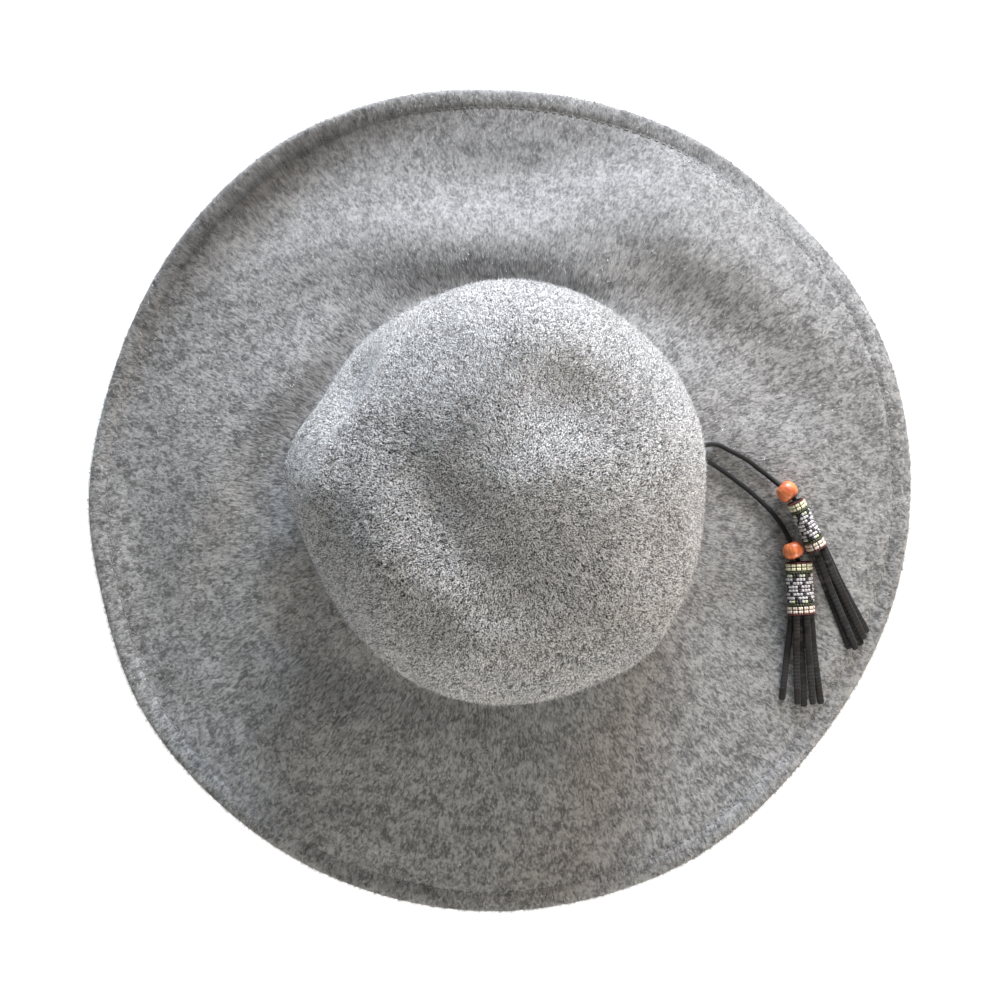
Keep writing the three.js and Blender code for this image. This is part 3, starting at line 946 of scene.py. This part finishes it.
def felt_surface():
    """The hat's felt: the model's shape rounded off, with the unevenness of blocked wool."""
    mesh = rounded(as_mesh(node_shape("felt_body"), "felt_cage"), 2)
    places = vertex_values(mesh)
    normals = vertex_values(mesh, "normal")
    broad = noise_at(places, 22.0)
    fine = noise_at(places, 75.0, (7.0, 3.0, 1.0))
    uneven = ((0.5 * broad + 0.2 * fine) * MM).astype(np.float32)
    inner = 1 - 0.8 * ramp(reach(places), 184 * MM, 196 * MM)
    moved = places + normals * (uneven * inner)[:, None]
    outward = places[:, :2] / np.maximum(reach(places), 1 * MM)[:, None]
    moved[:, :2] += outward * wall_push(places)[:, None]
    moved[:, 2] = np.maximum(moved[:, 2] + folded(places, normals), 0.02 * MM)
    mesh.vertices.foreach_set("co", moved.astype(np.float32).ravel())
    mesh.update()
    mesh.shade_smooth()
    return mesh


def felt_tree():
    """A search tree of the shown felt."""
    mesh = bpy.data.objects["hat_felt"].data
    mesh.calc_loop_triangles()
    corners = [vertex.co.copy() for vertex in mesh.vertices]
    triangles = [tuple(face.vertices) for face in mesh.loop_triangles]
    return BVHTree.FromPolygons(corners, triangles)


def plumb(tree, x, y):
    """Where a plumb line meets the felt's top, or None beside the brim."""
    return tree.ray_cast(Vector((x, y, PLUMB_TOP)), Vector((0, 0, -1)))[0]


def height_under(tree, x, y):
    """Height of the felt's top where a plumb line meets it."""
    place = plumb(tree, x, y)
    if place is None:
        raise RuntimeError(f"there is no felt under {x:.3f}, {y:.3f}")
    return place.z


def scatter(mesh, count, keep, seed):
    """Even random places on the faces that keep chooses, with the faces' normals."""
    mesh.calc_loop_triangles()
    corners = np.empty(len(mesh.loop_triangles) * 3, np.int32)
    mesh.loop_triangles.foreach_get("vertices", corners)
    triangles = vertex_values(mesh)[corners.reshape(-1, 3)].astype(float)
    cross = np.cross(triangles[:, 1] - triangles[:, 0], triangles[:, 2] - triangles[:, 0])
    doubled = np.linalg.norm(cross, axis=1)
    normals = cross / np.maximum(doubled, 1e-12)[:, None]
    weights = doubled * keep(triangles.mean(axis=1), normals)
    chance = np.random.default_rng(seed)
    chosen = chance.choice(len(weights), size=count, p=weights / weights.sum())
    u, v = chance.random((2, count))
    over = u + v > 1
    u[over] = 1 - u[over]
    v[over] = 1 - v[over]
    picked = triangles[chosen]
    sides = (picked[:, 1] - picked[:, 0]) * u[:, None] + (picked[:, 2] - picked[:, 0]) * v[:, None]
    return picked[:, 0] + sides, normals[chosen]


def unit(vectors):
    return vectors / np.maximum(np.linalg.norm(vectors, axis=1), 1e-9)[:, None]


def fibre_lay(places, normals, area, chance):
    """Directions of fibres: out from the whorl along the felt, with a slow drift and chance."""
    count = len(places)
    outward = (places - np.array([*WHORL, 0.0])) * np.array([1.0, 1.0, 0.0])
    along = unit(outward - normals * np.sum(outward * normals, axis=1)[:, None])
    across = np.cross(normals, along)
    slow = noise_at(places, 45.0)
    tuft = noise_at(places, 320.0)
    turn = slow * area["drift"] + tuft * area["tufts"] + chance.normal(0.0, area["scatter"], count)
    lay = along * np.cos(turn)[:, None] + across * np.sin(turn)[:, None]
    rise = np.abs(chance.normal(area["rise"], area["rise"] * 0.5, count))
    return unit(lay * np.cos(rise)[:, None] + normals * np.sin(rise)[:, None])


def spike_shape():
    """One fibre: a slim spike of three sides along +Z, a unit long and a unit wide."""
    shape = bmesh.new()
    bmesh.ops.create_cone(
        shape, cap_ends=True, cap_tris=False, segments=3, radius1=0.58, radius2=0.0, depth=1.0
    )
    bmesh.ops.remove_doubles(shape, verts=shape.verts, dist=1e-4)
    bmesh.ops.translate(shape, verts=shape.verts, vec=(0, 0, 0.5))
    bmesh.ops.triangulate(shape, faces=shape.faces)
    bmesh.ops.recalc_face_normals(shape, faces=shape.faces)
    return corners_and_faces(shape)


def fibre_mesh(name, places, normals, lay, lengths, widths, flat, tones):
    """Many fibres as one mesh, each a spike with its own tone that lies flat on the felt."""
    corners, faces = spike_shape()
    count = len(places)
    side = unit(np.cross(lay, normals))
    other = np.cross(lay, side) * flat
    shapes = (
        corners[None, :, 0:1] * (side * widths[:, None])[:, None, :]
        + corners[None, :, 1:2] * (other * widths[:, None])[:, None, :]
        + corners[None, :, 2:3] * (lay * lengths[:, None])[:, None, :]
    )
    points = places[:, None, :] + shapes
    points[:, :, 2] = np.maximum(points[:, :, 2], 0.05 * MM)
    joined = faces[None, :, :] + (np.arange(count) * len(corners))[:, None, None]
    mesh = bpy.data.meshes.new(name)
    mesh.vertices.add(count * len(corners))
    mesh.vertices.foreach_set("co", points.astype(np.float32).ravel())
    loops = joined.astype(np.int32).ravel()
    mesh.loops.add(len(loops))
    mesh.loops.foreach_set("vertex_index", loops)
    mesh.polygons.add(len(loops) // 3)
    mesh.polygons.foreach_set("loop_start", np.arange(0, len(loops), 3, dtype=np.int32))
    mesh.update(calc_edges=True)
    tone = mesh.attributes.new("tone", "FLOAT", "POINT")
    tone.data.foreach_set("value", np.repeat(tones, len(corners)).astype(np.float32))
    own_map(mesh, count, len(faces))
    return mesh


def own_map(mesh, count, faces_each):
    """A map that gives each fibre one small cell, all its faces on the same place."""
    across = math.ceil(math.sqrt(count))
    cell = 1.0 / across
    which = np.arange(count)
    corner = np.stack([which % across, which // across], axis=1) * cell
    triangle = np.array([[0.12, 0.12], [0.88, 0.12], [0.5, 0.88]]) * cell
    places = corner[:, None, None, :] + triangle[None, None, :, :]
    places = np.broadcast_to(places, (count, faces_each, 3, 2))
    layer = mesh.uv_layers.new(name="OFBake")
    layer.data.foreach_set("uv", places.astype(np.float32).ravel())


def wool_tones(places, area, chance):
    """Tone of each fibre from dark to light: partly its own, partly that of its clump."""
    from_whorl = places - np.array([*WHORL, 0.0])
    x, y, z = from_whorl.T
    far = np.hypot(x, y) + WHORL_CORE
    clump = fractal_at(np.stack(brushed(x, y, z, far, BROAD_TUFTS), axis=1), 1.0, 3)
    broad = fractal_at(places, 150.0, 2)
    single = chance.beta(0.6, 0.5, len(places)) - 0.5
    tuft = noise_at(places, 750.0)
    shared = (clump * 0.7 + broad * 0.5) * area["clump"] + tuft * area["tufts"]
    # Towards +Y, where the key light falls, the tones draw together: painted light for the lit
    # side's softer grain
    lit_side_calm = 1.0 - 0.55 * ramp(places[:, 1], *area["lit_side_calm"])
    return np.clip(area["tone"] + (single * area["own"] + shared) * lit_side_calm, 0.0, 1.0)


def add_nap(name, mesh, material, area, count, keep, seed):
    """One piece of loose fibres on a part of the felt."""
    places, normals = scatter(mesh, count, keep, seed)
    chance = np.random.default_rng(seed + 1)
    lay = fibre_lay(places, normals, area, chance)
    lengths = area["long"] * chance.uniform(0.5, 1.3, count)
    widths = area["wide"] * chance.uniform(0.6, 1.3, count)
    tones = wool_tones(places, area, chance)
    roots = places - normals * 0.1 * MM
    nap = fibre_mesh(name, roots, normals, lay, lengths, widths, area["flat"], tones)
    return add_piece(name, nap, material)


def reach(places):
    return np.hypot(places[:, 0], places[:, 1])


def on_crown(places, normals):
    """More fibres where the crown faces up, some on its wall."""
    inside = (places[:, 2] > 0.022) & (reach(places) < 0.112)
    outward = np.sum(places[:, :2] * normals[:, :2], axis=1) / np.maximum(reach(places), 1e-4)
    outer = ((outward > 0.0) | (normals[:, 2] > 0.3)) & (normals[:, 2] > -0.35)
    return (inside & outer) * (0.35 + np.clip(normals[:, 2], 0.0, 1.0))


def on_near_brim(places, normals):
    far = reach(places)
    chosen = (places[:, 2] < 0.030) & (far > 0.090) & (far < 0.150) & (normals[:, 2] > 0.12)
    return chosen.astype(float)


def on_far_brim(places, normals):
    chosen = (reach(places) >= 0.150) & (normals[:, 2] > 0.12)
    return chosen.astype(float)


def on_rim(places, normals):
    """Most fibres on the edge itself, some on the hem above and below."""
    chosen = (reach(places) > 0.183) & (normals[:, 2] > -0.9)
    return chosen * (1.0 + 3.0 * (np.abs(normals[:, 2]) < 0.8))


class HAT_OT_stage(bpy.types.Operator):
    """Makes the floor, the lights and the camera over the hat"""

    bl_idname = "hat.make_stage"
    bl_label = "Make stage"

    def execute(self, context):
        settings = context.scene.hat_stage
        view = bpy.data.cameras.new("hat_camera")
        view.lens = settings.lens
        view.sensor_width = 36.0
        camera = put("hat_camera", view)
        camera.location = (0.0, 0.0, settings.camera_height)
        context.scene.camera = camera
        floor = bmesh.new()
        bmesh.ops.create_grid(floor, x_segments=1, y_segments=1, size=3.0)
        mesh = as_mesh(floor, "floor")
        mesh.materials.append(floor_finish())
        put("floor", mesh)
        for name, place in LIGHTS.items():
            self.add_light(name, getattr(settings, f"{name}_power"), place)
        world = bpy.data.worlds.new("studio")
        world.use_nodes = True
        background = world.node_tree.nodes["Background"]
        background.inputs["Color"].default_value = (1.0, 1.0, 0.94, 1.0)
        background.inputs["Strength"].default_value = settings.ambient
        context.scene.world = world
        context.scene.view_settings.view_transform = "Standard"
        context.scene.view_settings.look = "None"
        return {"FINISHED"}

    def add_light(self, name, power, place):
        turn, rise, away, size, colour = place
        lamp = bpy.data.lights.new(name, "AREA")
        lamp.shape = "DISK"
        lamp.size = size
        lamp.energy = power
        lamp.color = colour
        light = put(name, lamp)
        turn = math.radians(turn)
        rise = math.radians(rise)
        level = math.cos(rise)
        back = Vector((math.cos(turn) * level, math.sin(turn) * level, math.sin(rise)))
        light.location = back * away
        light.rotation_euler = (-back).to_track_quat("-Z", "Y").to_euler()


class HAT_OT_felt(bpy.types.Operator):
    """Makes the felt of crown, brim and hem"""

    bl_idname = "hat.make_felt"
    bl_label = "Make felt"

    def execute(self, context):
        settings = context.scene.hat_felt
        add_piece("hat_felt", felt_surface(), felt_finish(settings), ["felt_body"])
        return {"FINISHED"}


class HAT_OT_nap(bpy.types.Operator):
    """Makes the loose wool fibres on the felt"""

    bl_idname = "hat.make_nap"
    bl_label = "Make nap"

    def execute(self, context):
        settings = context.scene.hat_felt
        material = nap_finish(settings)
        mesh = bpy.data.objects["hat_felt"].data
        pieces = (
            ("nap_crown", "crown", settings.crown_fibres, on_crown, 11),
            ("nap_crown_more", "crown", settings.crown_fibres, on_crown, 13),
            ("nap_near_brim", "brim", settings.brim_fibres, on_near_brim, 21),
            ("nap_far_brim", "brim", settings.brim_fibres, on_far_brim, 31),
            ("nap_rim", "rim", settings.rim_fibres, on_rim, 41),
        )
        for name, area, count, keep, seed in pieces:
            add_nap(name, mesh, material, NAP[area], count, keep, seed)
        return {"FINISHED"}


class HAT_OT_stitches(bpy.types.Operator):
    """Makes the stitches that hold the turned hem"""

    bl_idname = "hat.make_stitches"
    bl_label = "Make stitches"

    def execute(self, context):
        settings = context.scene.hat_felt
        tree = felt_tree()
        edge = rim_line(tree)
        insets = groove_line(tree, edge)
        joined = bmesh.new()
        for k in range(HEM_STITCHES):
            start = math.tau * k / HEM_STITCHES
            end = start + math.tau * STITCH_SHARE / HEM_STITCHES
            route = []
            for t, dip in enumerate(STITCH_DIPS):
                turn = start + (end - start) * t / (len(STITCH_DIPS) - 1)
                inset = np.interp(math.degrees(turn), np.arange(361), [*insets, insets[0]])
                point = seam_point(tree, edge, turn, inset)
                point.z += dip
                route.append(point)
            absorb(joined, tube_mesh(route, STITCH_THREAD, "stitch"))
        mesh = as_mesh(joined, "hem_stitches")
        add_piece("hem_stitches", mesh, stitch_finish(settings))
        return {"FINISHED"}


def rim_line(tree, steps=360):
    """Distance of the brim's edge from the middle, for each degree, met by plumb lines."""
    line = np.zeros(steps)
    for k in range(steps):
        turn = math.radians(k * 360 / steps)
        low, high = 0.170, 0.215
        for _ in range(11):
            far = (low + high) / 2
            if plumb(tree, far * math.cos(turn), far * math.sin(turn)) is None:
                high = far
            else:
                low = far
        line[k] = low
    return line


def groove_line(tree, edge):
    """Distance of the hem's groove from the brim's edge, for each degree."""
    insets = np.zeros(len(edge))
    tries = np.arange(4.0, 12.0, 0.25) * MM
    step = 6
    for k in range(len(edge)):
        heights = [seam_point(tree, edge, math.radians(k), inset).z for inset in tries]
        heights = np.array(heights)
        dips = (heights[: -2 * step] + heights[2 * step :]) / 2 - heights[step:-step]
        insets[k] = tries[step + int(np.argmax(dips))]
    wide = np.concatenate([insets[-6:], insets, insets[:6]])
    return np.array([np.median(wide[k : k + 13]) for k in range(len(insets))])


def seam_point(tree, edge, turn, inset):
    place = math.degrees(turn) % 360 * len(edge) / 360
    k = int(place) % len(edge)
    share = place - int(place)
    far = edge[k] * (1 - share) + edge[(k + 1) % len(edge)] * share - inset
    x = far * math.cos(turn)
    y = far * math.sin(turn)
    return Vector((x, y, height_under(tree, x, y)))


class HAT_OT_laces(bpy.types.Operator):
    """Makes the lace round the crown, its knot and its two tails"""

    bl_idname = "hat.make_laces"
    bl_label = "Make laces"

    def execute(self, context):
        material = lace_finish(context.scene.hat_lace)
        band = rounded(as_mesh(node_shape("band_lace"), "band_cage"), 1)
        add_piece("lace_band", band, material, ["band_lace"])
        knot = tube_mesh(self.knot_route(), LACE_DIAMETER, "lace_knot", closed=True)
        add_piece("lace_knot", knot, material, ["band_knot"])
        for side, strand in STRANDS.items():
            route = smooth_route(strand["course"], COURSE_STEPS)
            tail = tube_mesh(route, LACE_DIAMETER, "tail")
            add_piece(f"lace_tail_{side}", tail, material, [f"tail_lace_{side}"])
        return {"FINISHED"}

    def knot_route(self):
        """A tight knot as large as the model's."""
        low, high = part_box("band_knot")
        middle = (low + high) / 2
        size = (high - low) / 2 - Vector((1, 1, 1)) * LACE_DIAMETER / 2
        route = []
        for k in range(72):
            t = math.tau * k / 72
            x = (math.sin(t) + 2 * math.sin(2 * t)) / 2.8
            y = (math.cos(t) - 2 * math.cos(2 * t)) / 2.8
            z = -math.sin(3 * t)
            route.append(middle + Vector((z * size.x, x * size.y, y * size.z)))
        return route


class HAT_OT_beads(bpy.types.Operator):
    """Makes the two wooden beads"""

    bl_idname = "hat.make_beads"
    bl_label = "Make wooden beads"

    def execute(self, context):
        settings = context.scene.hat_beads
        for side, strand in STRANDS.items():
            low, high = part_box(f"bead_{side}")
            middle = (low + high) / 2
            route = [Vector(point) for point in strand["course"]]
            axis = (route[-1] - route[-4]).normalized()
            shape = self.bead_shape(strand, settings.hole)
            turn = Vector((0, 0, 1)).rotation_difference(axis).to_matrix().to_4x4()
            bmesh.ops.transform(shape, verts=shape.verts, matrix=Matrix.Translation(middle) @ turn)
            mesh = as_mesh(shape, "bead")
            wood = wood_finish(settings, f"stained_wood_{side}", axis)
            add_piece(f"wood_bead_{side}", mesh, wood, [f"bead_{side}"])
        return {"FINISHED"}

    def bead_shape(self, strand, hole):
        """A drilled bead along +Z, spun from its section."""
        half = strand["bead_along"] / 2
        wide = strand["bead_across"] / 2
        bore = hole / 2
        section = []
        steps = 18
        power = 0.86
        for k in range(steps + 1):
            phi = math.pi * k / steps
            across = math.sin(phi) ** power * wide
            up = math.copysign(abs(math.cos(phi)) ** power, math.cos(phi)) * half
            if across > bore * 1.12:
                section.append((across, up))
        top = section[0][1]
        section.insert(0, (bore * 1.02, top + 0.05 * MM))
        section.append((bore * 1.02, -top - 0.05 * MM))
        section.append((bore * 0.94, -top * 0.8))
        section.append((bore * 0.94, top * 0.8))
        return spun(section, 40, MERGE / 2)


def sleeve_frame(side):
    """Matrix that sets a sleeve along +Z, from its top end, in its place."""
    start, end = (Vector((x, y, 0.0)) for x, y in STRANDS[side]["sleeve_ends"])
    start.z = frame_height(side, start)
    end.z = frame_height(side, end)
    axis = (end - start).normalized()
    across = Vector((0, 0, 1)).cross(axis).normalized()
    return placed(across, axis.cross(across), axis, start), (end - start).length


def frame_height(side, place):
    """Height of the middle of a sleeve's end, read from the model's sleeve."""
    points = [v.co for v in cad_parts[f"sleeve_{side}"].data.vertices]
    near = [p for p in points if (p.xy - place.xy).length < 7.5 * MM]
    return (min(p.z for p in near) + max(p.z for p in near)) / 2


def oval_point(half, turn):
    return Vector((half[0] * math.cos(turn), half[1] * math.sin(turn), 0.0))


def even_turns(half, count):
    """Turns that divide an oval's edge into even lengths."""
    fine = [oval_point(half, math.tau * k / TURN_STEPS) for k in range(TURN_STEPS + 1)]
    lengths = lengths_along(fine)
    wanted = np.arange(count) * lengths[-1] / count
    all_turns = np.linspace(0.0, math.tau, TURN_STEPS + 1)
    return np.interp(wanted, lengths, all_turns), lengths[-1]


def sleeve_drum(strand, depth, middle, trim, sides, capped, lower):
    """An oval drum inside a sleeve, smaller by a trim: tapered first, of another size below."""
    shape = bmesh.new()
    bmesh.ops.create_cone(
        shape, cap_ends=capped, segments=sides, radius1=1.0, radius2=1.0, depth=depth
    )
    bmesh.ops.translate(shape, verts=shape.verts, vec=(0, 0, middle))
    wide, high = strand["sleeve_half"]
    for vertex in shape.verts:
        size = strand["taper"] if vertex.co.z < middle else lower
        vertex.co.x *= wide * size - trim
        vertex.co.y *= high * size - trim
    return shape


class HAT_OT_sleeves(bpy.types.Operator):
    """Makes the sleeves of seed beads"""

    bl_idname = "hat.make_sleeves"
    bl_label = "Make bead sleeves"

    def execute(self, context):
        settings = context.scene.hat_sleeves
        glass = seed_finish()
        thread = thread_finish()
        for side, strand in STRANDS.items():
            matrix, length = sleeve_frame(side)
            core = self.core_shape(strand, length)
            bmesh.ops.transform(core, verts=core.verts, matrix=matrix)
            core_mesh = as_mesh(core, "core")
            add_piece(f"sleeve_core_{side}", core_mesh, thread, [f"sleeve_{side}"])
            beads = self.bead_mesh(settings, strand, length, matrix)
            add_piece(f"seed_beads_{side}", beads, glass)
        return {"FINISHED"}

    def core_shape(self, strand, length):
        """The dark thread ground under the beads: an oval tube that tapers a little."""
        shape = sleeve_drum(strand, length, length / 2, 1.95 * MM, 48, False, 1.0)
        bmesh.ops.recalc_face_normals(shape, faces=shape.faces)
        bmesh.ops.solidify(shape, geom=shape.faces, thickness=-0.9 * MM)
        bmesh.ops.recalc_face_normals(shape, faces=shape.faces)
        return shape

    def bead_mesh(self, settings, strand, length, matrix):
        """All the seed beads of a sleeve, ring by ring, bent to the sleeve, with a colour each."""
        corners, faces = self.seed_shape()
        chance = np.random.default_rng(5)
        usual = length / sum(height for _, _, height in WEAVE)
        points = []
        colours = []
        along = 0.0
        for letters, shift, height in WEAVE:
            pitch = usual * height
            middle = along + pitch / 2
            along += pitch
            size = strand["taper"] + (1 - strand["taper"]) * middle / length
            half = tuple(h * size - 0.85 * MM for h in strand["sleeve_half"])
            turns, edge = even_turns(half, TURN_STEPS)
            marks = np.arange(TURN_STEPS + 1) * edge / TURN_STEPS
            columns = settings.columns if len(letters) > 1 else settings.end_columns
            wide = edge / columns
            for column in range(columns):
                letter = letters[column % len(letters)]
                beside = letters[(column + 1) % len(letters)] + letters[column % len(letters) - 1]
                pair = 0.0
                bulge = settings.fill * (1.0 + chance.normal(0, 0.02))
                slim = 0.94
                if letter in "cp":
                    pair = 0.10 if column % 2 == 0 else -0.10
                    bulge *= 0.88
                if letter in "wg" and "k" in beside:
                    slim = 0.84
                start = (column + shift / 2 + pair) * wide
                places = start + corners[:, 2] * wide * bulge
                turn = np.interp(places, marks, [*turns, math.tau], period=edge)
                out = np.stack([half[1] * np.cos(turn), half[0] * np.sin(turn)], axis=1)
                out /= np.linalg.norm(out, axis=1)[:, None]
                lift = corners[:, 0] * 1.7 * MM
                bead = np.empty((len(corners), 3))
                bead[:, 0] = half[0] * np.cos(turn) + out[:, 0] * lift
                bead[:, 1] = half[1] * np.sin(turn) + out[:, 1] * lift
                bead[:, 2] = middle + corners[:, 1] * pitch * slim
                points.append(bead)
                colours.append(self.varied(BEAD_COLOURS[letter], chance))
        return self.joined_beads(points, faces, colours, matrix)

    def joined_beads(self, points, faces, colours, matrix):
        count = len(points)
        each = len(points[0])
        mesh = bpy.data.meshes.new("seed_beads")
        joined = (faces[None, :, :] + (np.arange(count) * each)[:, None, None]).reshape(-1, 4)
        mesh.from_pydata(np.concatenate(points).tolist(), [], joined.tolist())
        glass = mesh.attributes.new("glass", "FLOAT_COLOR", "POINT")
        shades = np.repeat(np.array([(*colour, 1.0) for colour in colours]), each, axis=0)
        glass.data.foreach_set("color", shades.astype(np.float32).ravel())
        mesh.transform(matrix)
        mesh.shade_smooth()
        return mesh

    def varied(self, colour, chance):
        share = chance.normal(1.0, 0.04)
        return tuple(min(1.0, max(0.0, channel * share)) for channel in colour)

    def seed_shape(self):
        """A seed bead a unit across: a short drum with rounded edges and a small hole along Z."""
        upper = [(0.17, 0.40), (0.36, 0.48), (0.5, 0.32)]
        lower = [(across, -up) for across, up in reversed(upper)]
        return corners_and_faces(spun(upper + lower, 8, 1e-4))


class HAT_OT_tassels(bpy.types.Operator):
    """Makes the suede strips of both tassels"""

    bl_idname = "hat.make_tassels"
    bl_label = "Make tassels"

    def execute(self, context):
        settings = context.scene.hat_tassels
        material = suede_finish(settings)
        tree = felt_tree()
        for side, strips in STRIPS.items():
            joined = bmesh.new()
            matrix, length = sleeve_frame(side)
            for k, (across, tip, layer) in enumerate(strips):
                route = self.strip_route(settings, tree, matrix, length, across, tip, layer, k)
                absorb(joined, self.ribbon(route, settings.width, settings.thickness))
            absorb(joined, self.head_mesh(STRANDS[side], matrix, length))
            mesh = as_mesh(joined, "strips")
            add_piece(f"tassel_strips_{side}", mesh, material, [f"tassel_{side}"])
        return {"FINISHED"}

    def head_mesh(self, strand, matrix, length):
        """The bundle that fills the sleeve."""
        depth = length - 1.0 * MM
        middle = length / 2 + 0.3 * MM
        shape = sleeve_drum(strand, depth, middle, 2.2 * MM, 40, True, strand["taper"])
        bmesh.ops.transform(shape, verts=shape.verts, matrix=matrix)
        return as_mesh(shape, "head", smooth=False)

    def strip_route(self, settings, tree, matrix, length, across, tip, layer, number):
        """The middle line of a strip, from inside the sleeve to its tip, laid on the felt."""
        thick = settings.thickness
        aside = (0.5 - layer) * -1.3 * MM
        root = matrix @ Vector((across, aside, length - 1.6 * MM))
        leave = matrix @ Vector((across, aside, length + 1.5 * MM))
        end = Vector((*tip, 0.0))
        steps = 26
        clear = 0.25 * MM
        route = [root]
        flat = (end.xy - leave.xy).length
        chance = np.random.default_rng(50 + number)
        bow = chance.normal(0.0, 0.35) * MM
        side = Vector((-(end.y - leave.y), end.x - leave.x)).normalized()
        for k in range(steps):
            share = k / (steps - 1)
            x, y = leave.xy.lerp(end.xy, share) + side * bow * math.sin(math.pi * share)
            rest = height_under(tree, x, y) + thick * 0.5 + clear
            rest += layer * (thick + clear)
            ease = ramp(share * flat, 0.0, 18 * MM)
            route.append(Vector((x, y, leave.z * (1 - ease) + rest * ease)))
        for _ in range(2):
            for k in range(2, len(route) - 1):
                lower = (route[k - 1].z + route[k + 1].z) / 2
                route[k].z = max(route[k].z * 0.5 + lower * 0.5, route[k].z - 0.2 * MM)
        return route

    def ribbon(self, route, width, thick):
        """A flat strip with softened edges along a route."""
        shape = bmesh.new()
        half = width / 2
        edge = thick / 2
        inner = half * 0.86
        upper = [(-half, 0), (-inner, edge), (0, edge), (inner, edge)]
        section = upper + [(-x, -y) for x, y in upper]
        frames = []
        for k, point in enumerate(route):
            ahead = (route[min(k + 1, len(route) - 1)] - route[max(k - 1, 0)]).normalized()
            across = ahead.cross(Vector((0, 0, 1))).normalized()
            frames.append(placed(across, across.cross(ahead), ahead, point))
        verts = [shape.verts.new(frames[0] @ Vector((x, y, 0.0))) for x, y in section]
        face = shape.faces.new(verts)
        for before, after in zip(frames, frames[1:]):
            made = bmesh.ops.extrude_face_region(shape, geom=[face])["geom"]
            face = next(item for item in made if isinstance(item, bmesh.types.BMFace))
            bmesh.ops.transform(shape, verts=face.verts, matrix=after @ before.inverted())
        bmesh.ops.recalc_face_normals(shape, faces=shape.faces)
        return rounded(as_mesh(shape, "strip"), 1)


class HAT_PT_panel(bpy.types.Panel):
    """Lists the hat's pieces"""

    bl_label = "Felt hat"
    bl_idname = "HAT_PT_panel"
    bl_space_type = "VIEW_3D"
    bl_region_type = "UI"
    bl_category = "Hat"

    def draw(self, context):
        for made in OPERATORS:
            self.layout.operator(made.bl_idname)


OPERATORS = (
    HAT_OT_stage,
    HAT_OT_laces,
    HAT_OT_felt,
    HAT_OT_nap,
    HAT_OT_stitches,
    HAT_OT_beads,
    HAT_OT_sleeves,
    HAT_OT_tassels,
)
SETTINGS = {
    "hat_felt": FeltSettings,
    "hat_lace": LaceSettings,
    "hat_beads": BeadSettings,
    "hat_sleeves": SleeveSettings,
    "hat_tassels": TasselSettings,
    "hat_stage": StageSettings,
}


def register():
    for made in (*SETTINGS.values(), *OPERATORS, HAT_PT_panel):
        bpy.utils.register_class(made)
    for name, group in SETTINGS.items():
        setattr(bpy.types.Scene, name, PointerProperty(type=group))


def unregister():
    for name in SETTINGS:
        delattr(bpy.types.Scene, name)
    for made in reversed((*SETTINGS.values(), *OPERATORS, HAT_PT_panel)):
        bpy.utils.unregister_class(made)


def declare_cords():
    """Works out how long each tail's smooth route is, and does nothing with the length."""
    for side, strand in STRANDS.items():
        route = smooth_route(strand["course"], COURSE_STEPS)
        lengths_along(route)[-1]


def main():
    register()
    for made in OPERATORS:
        group, name = made.bl_idname.split(".")
        result = getattr(getattr(bpy.ops, group), name)()
        if result != {"FINISHED"}:
            raise RuntimeError(f"{made.bl_idname} did not finish")
    declare_cords()


if __name__ == "__main__":
    main()
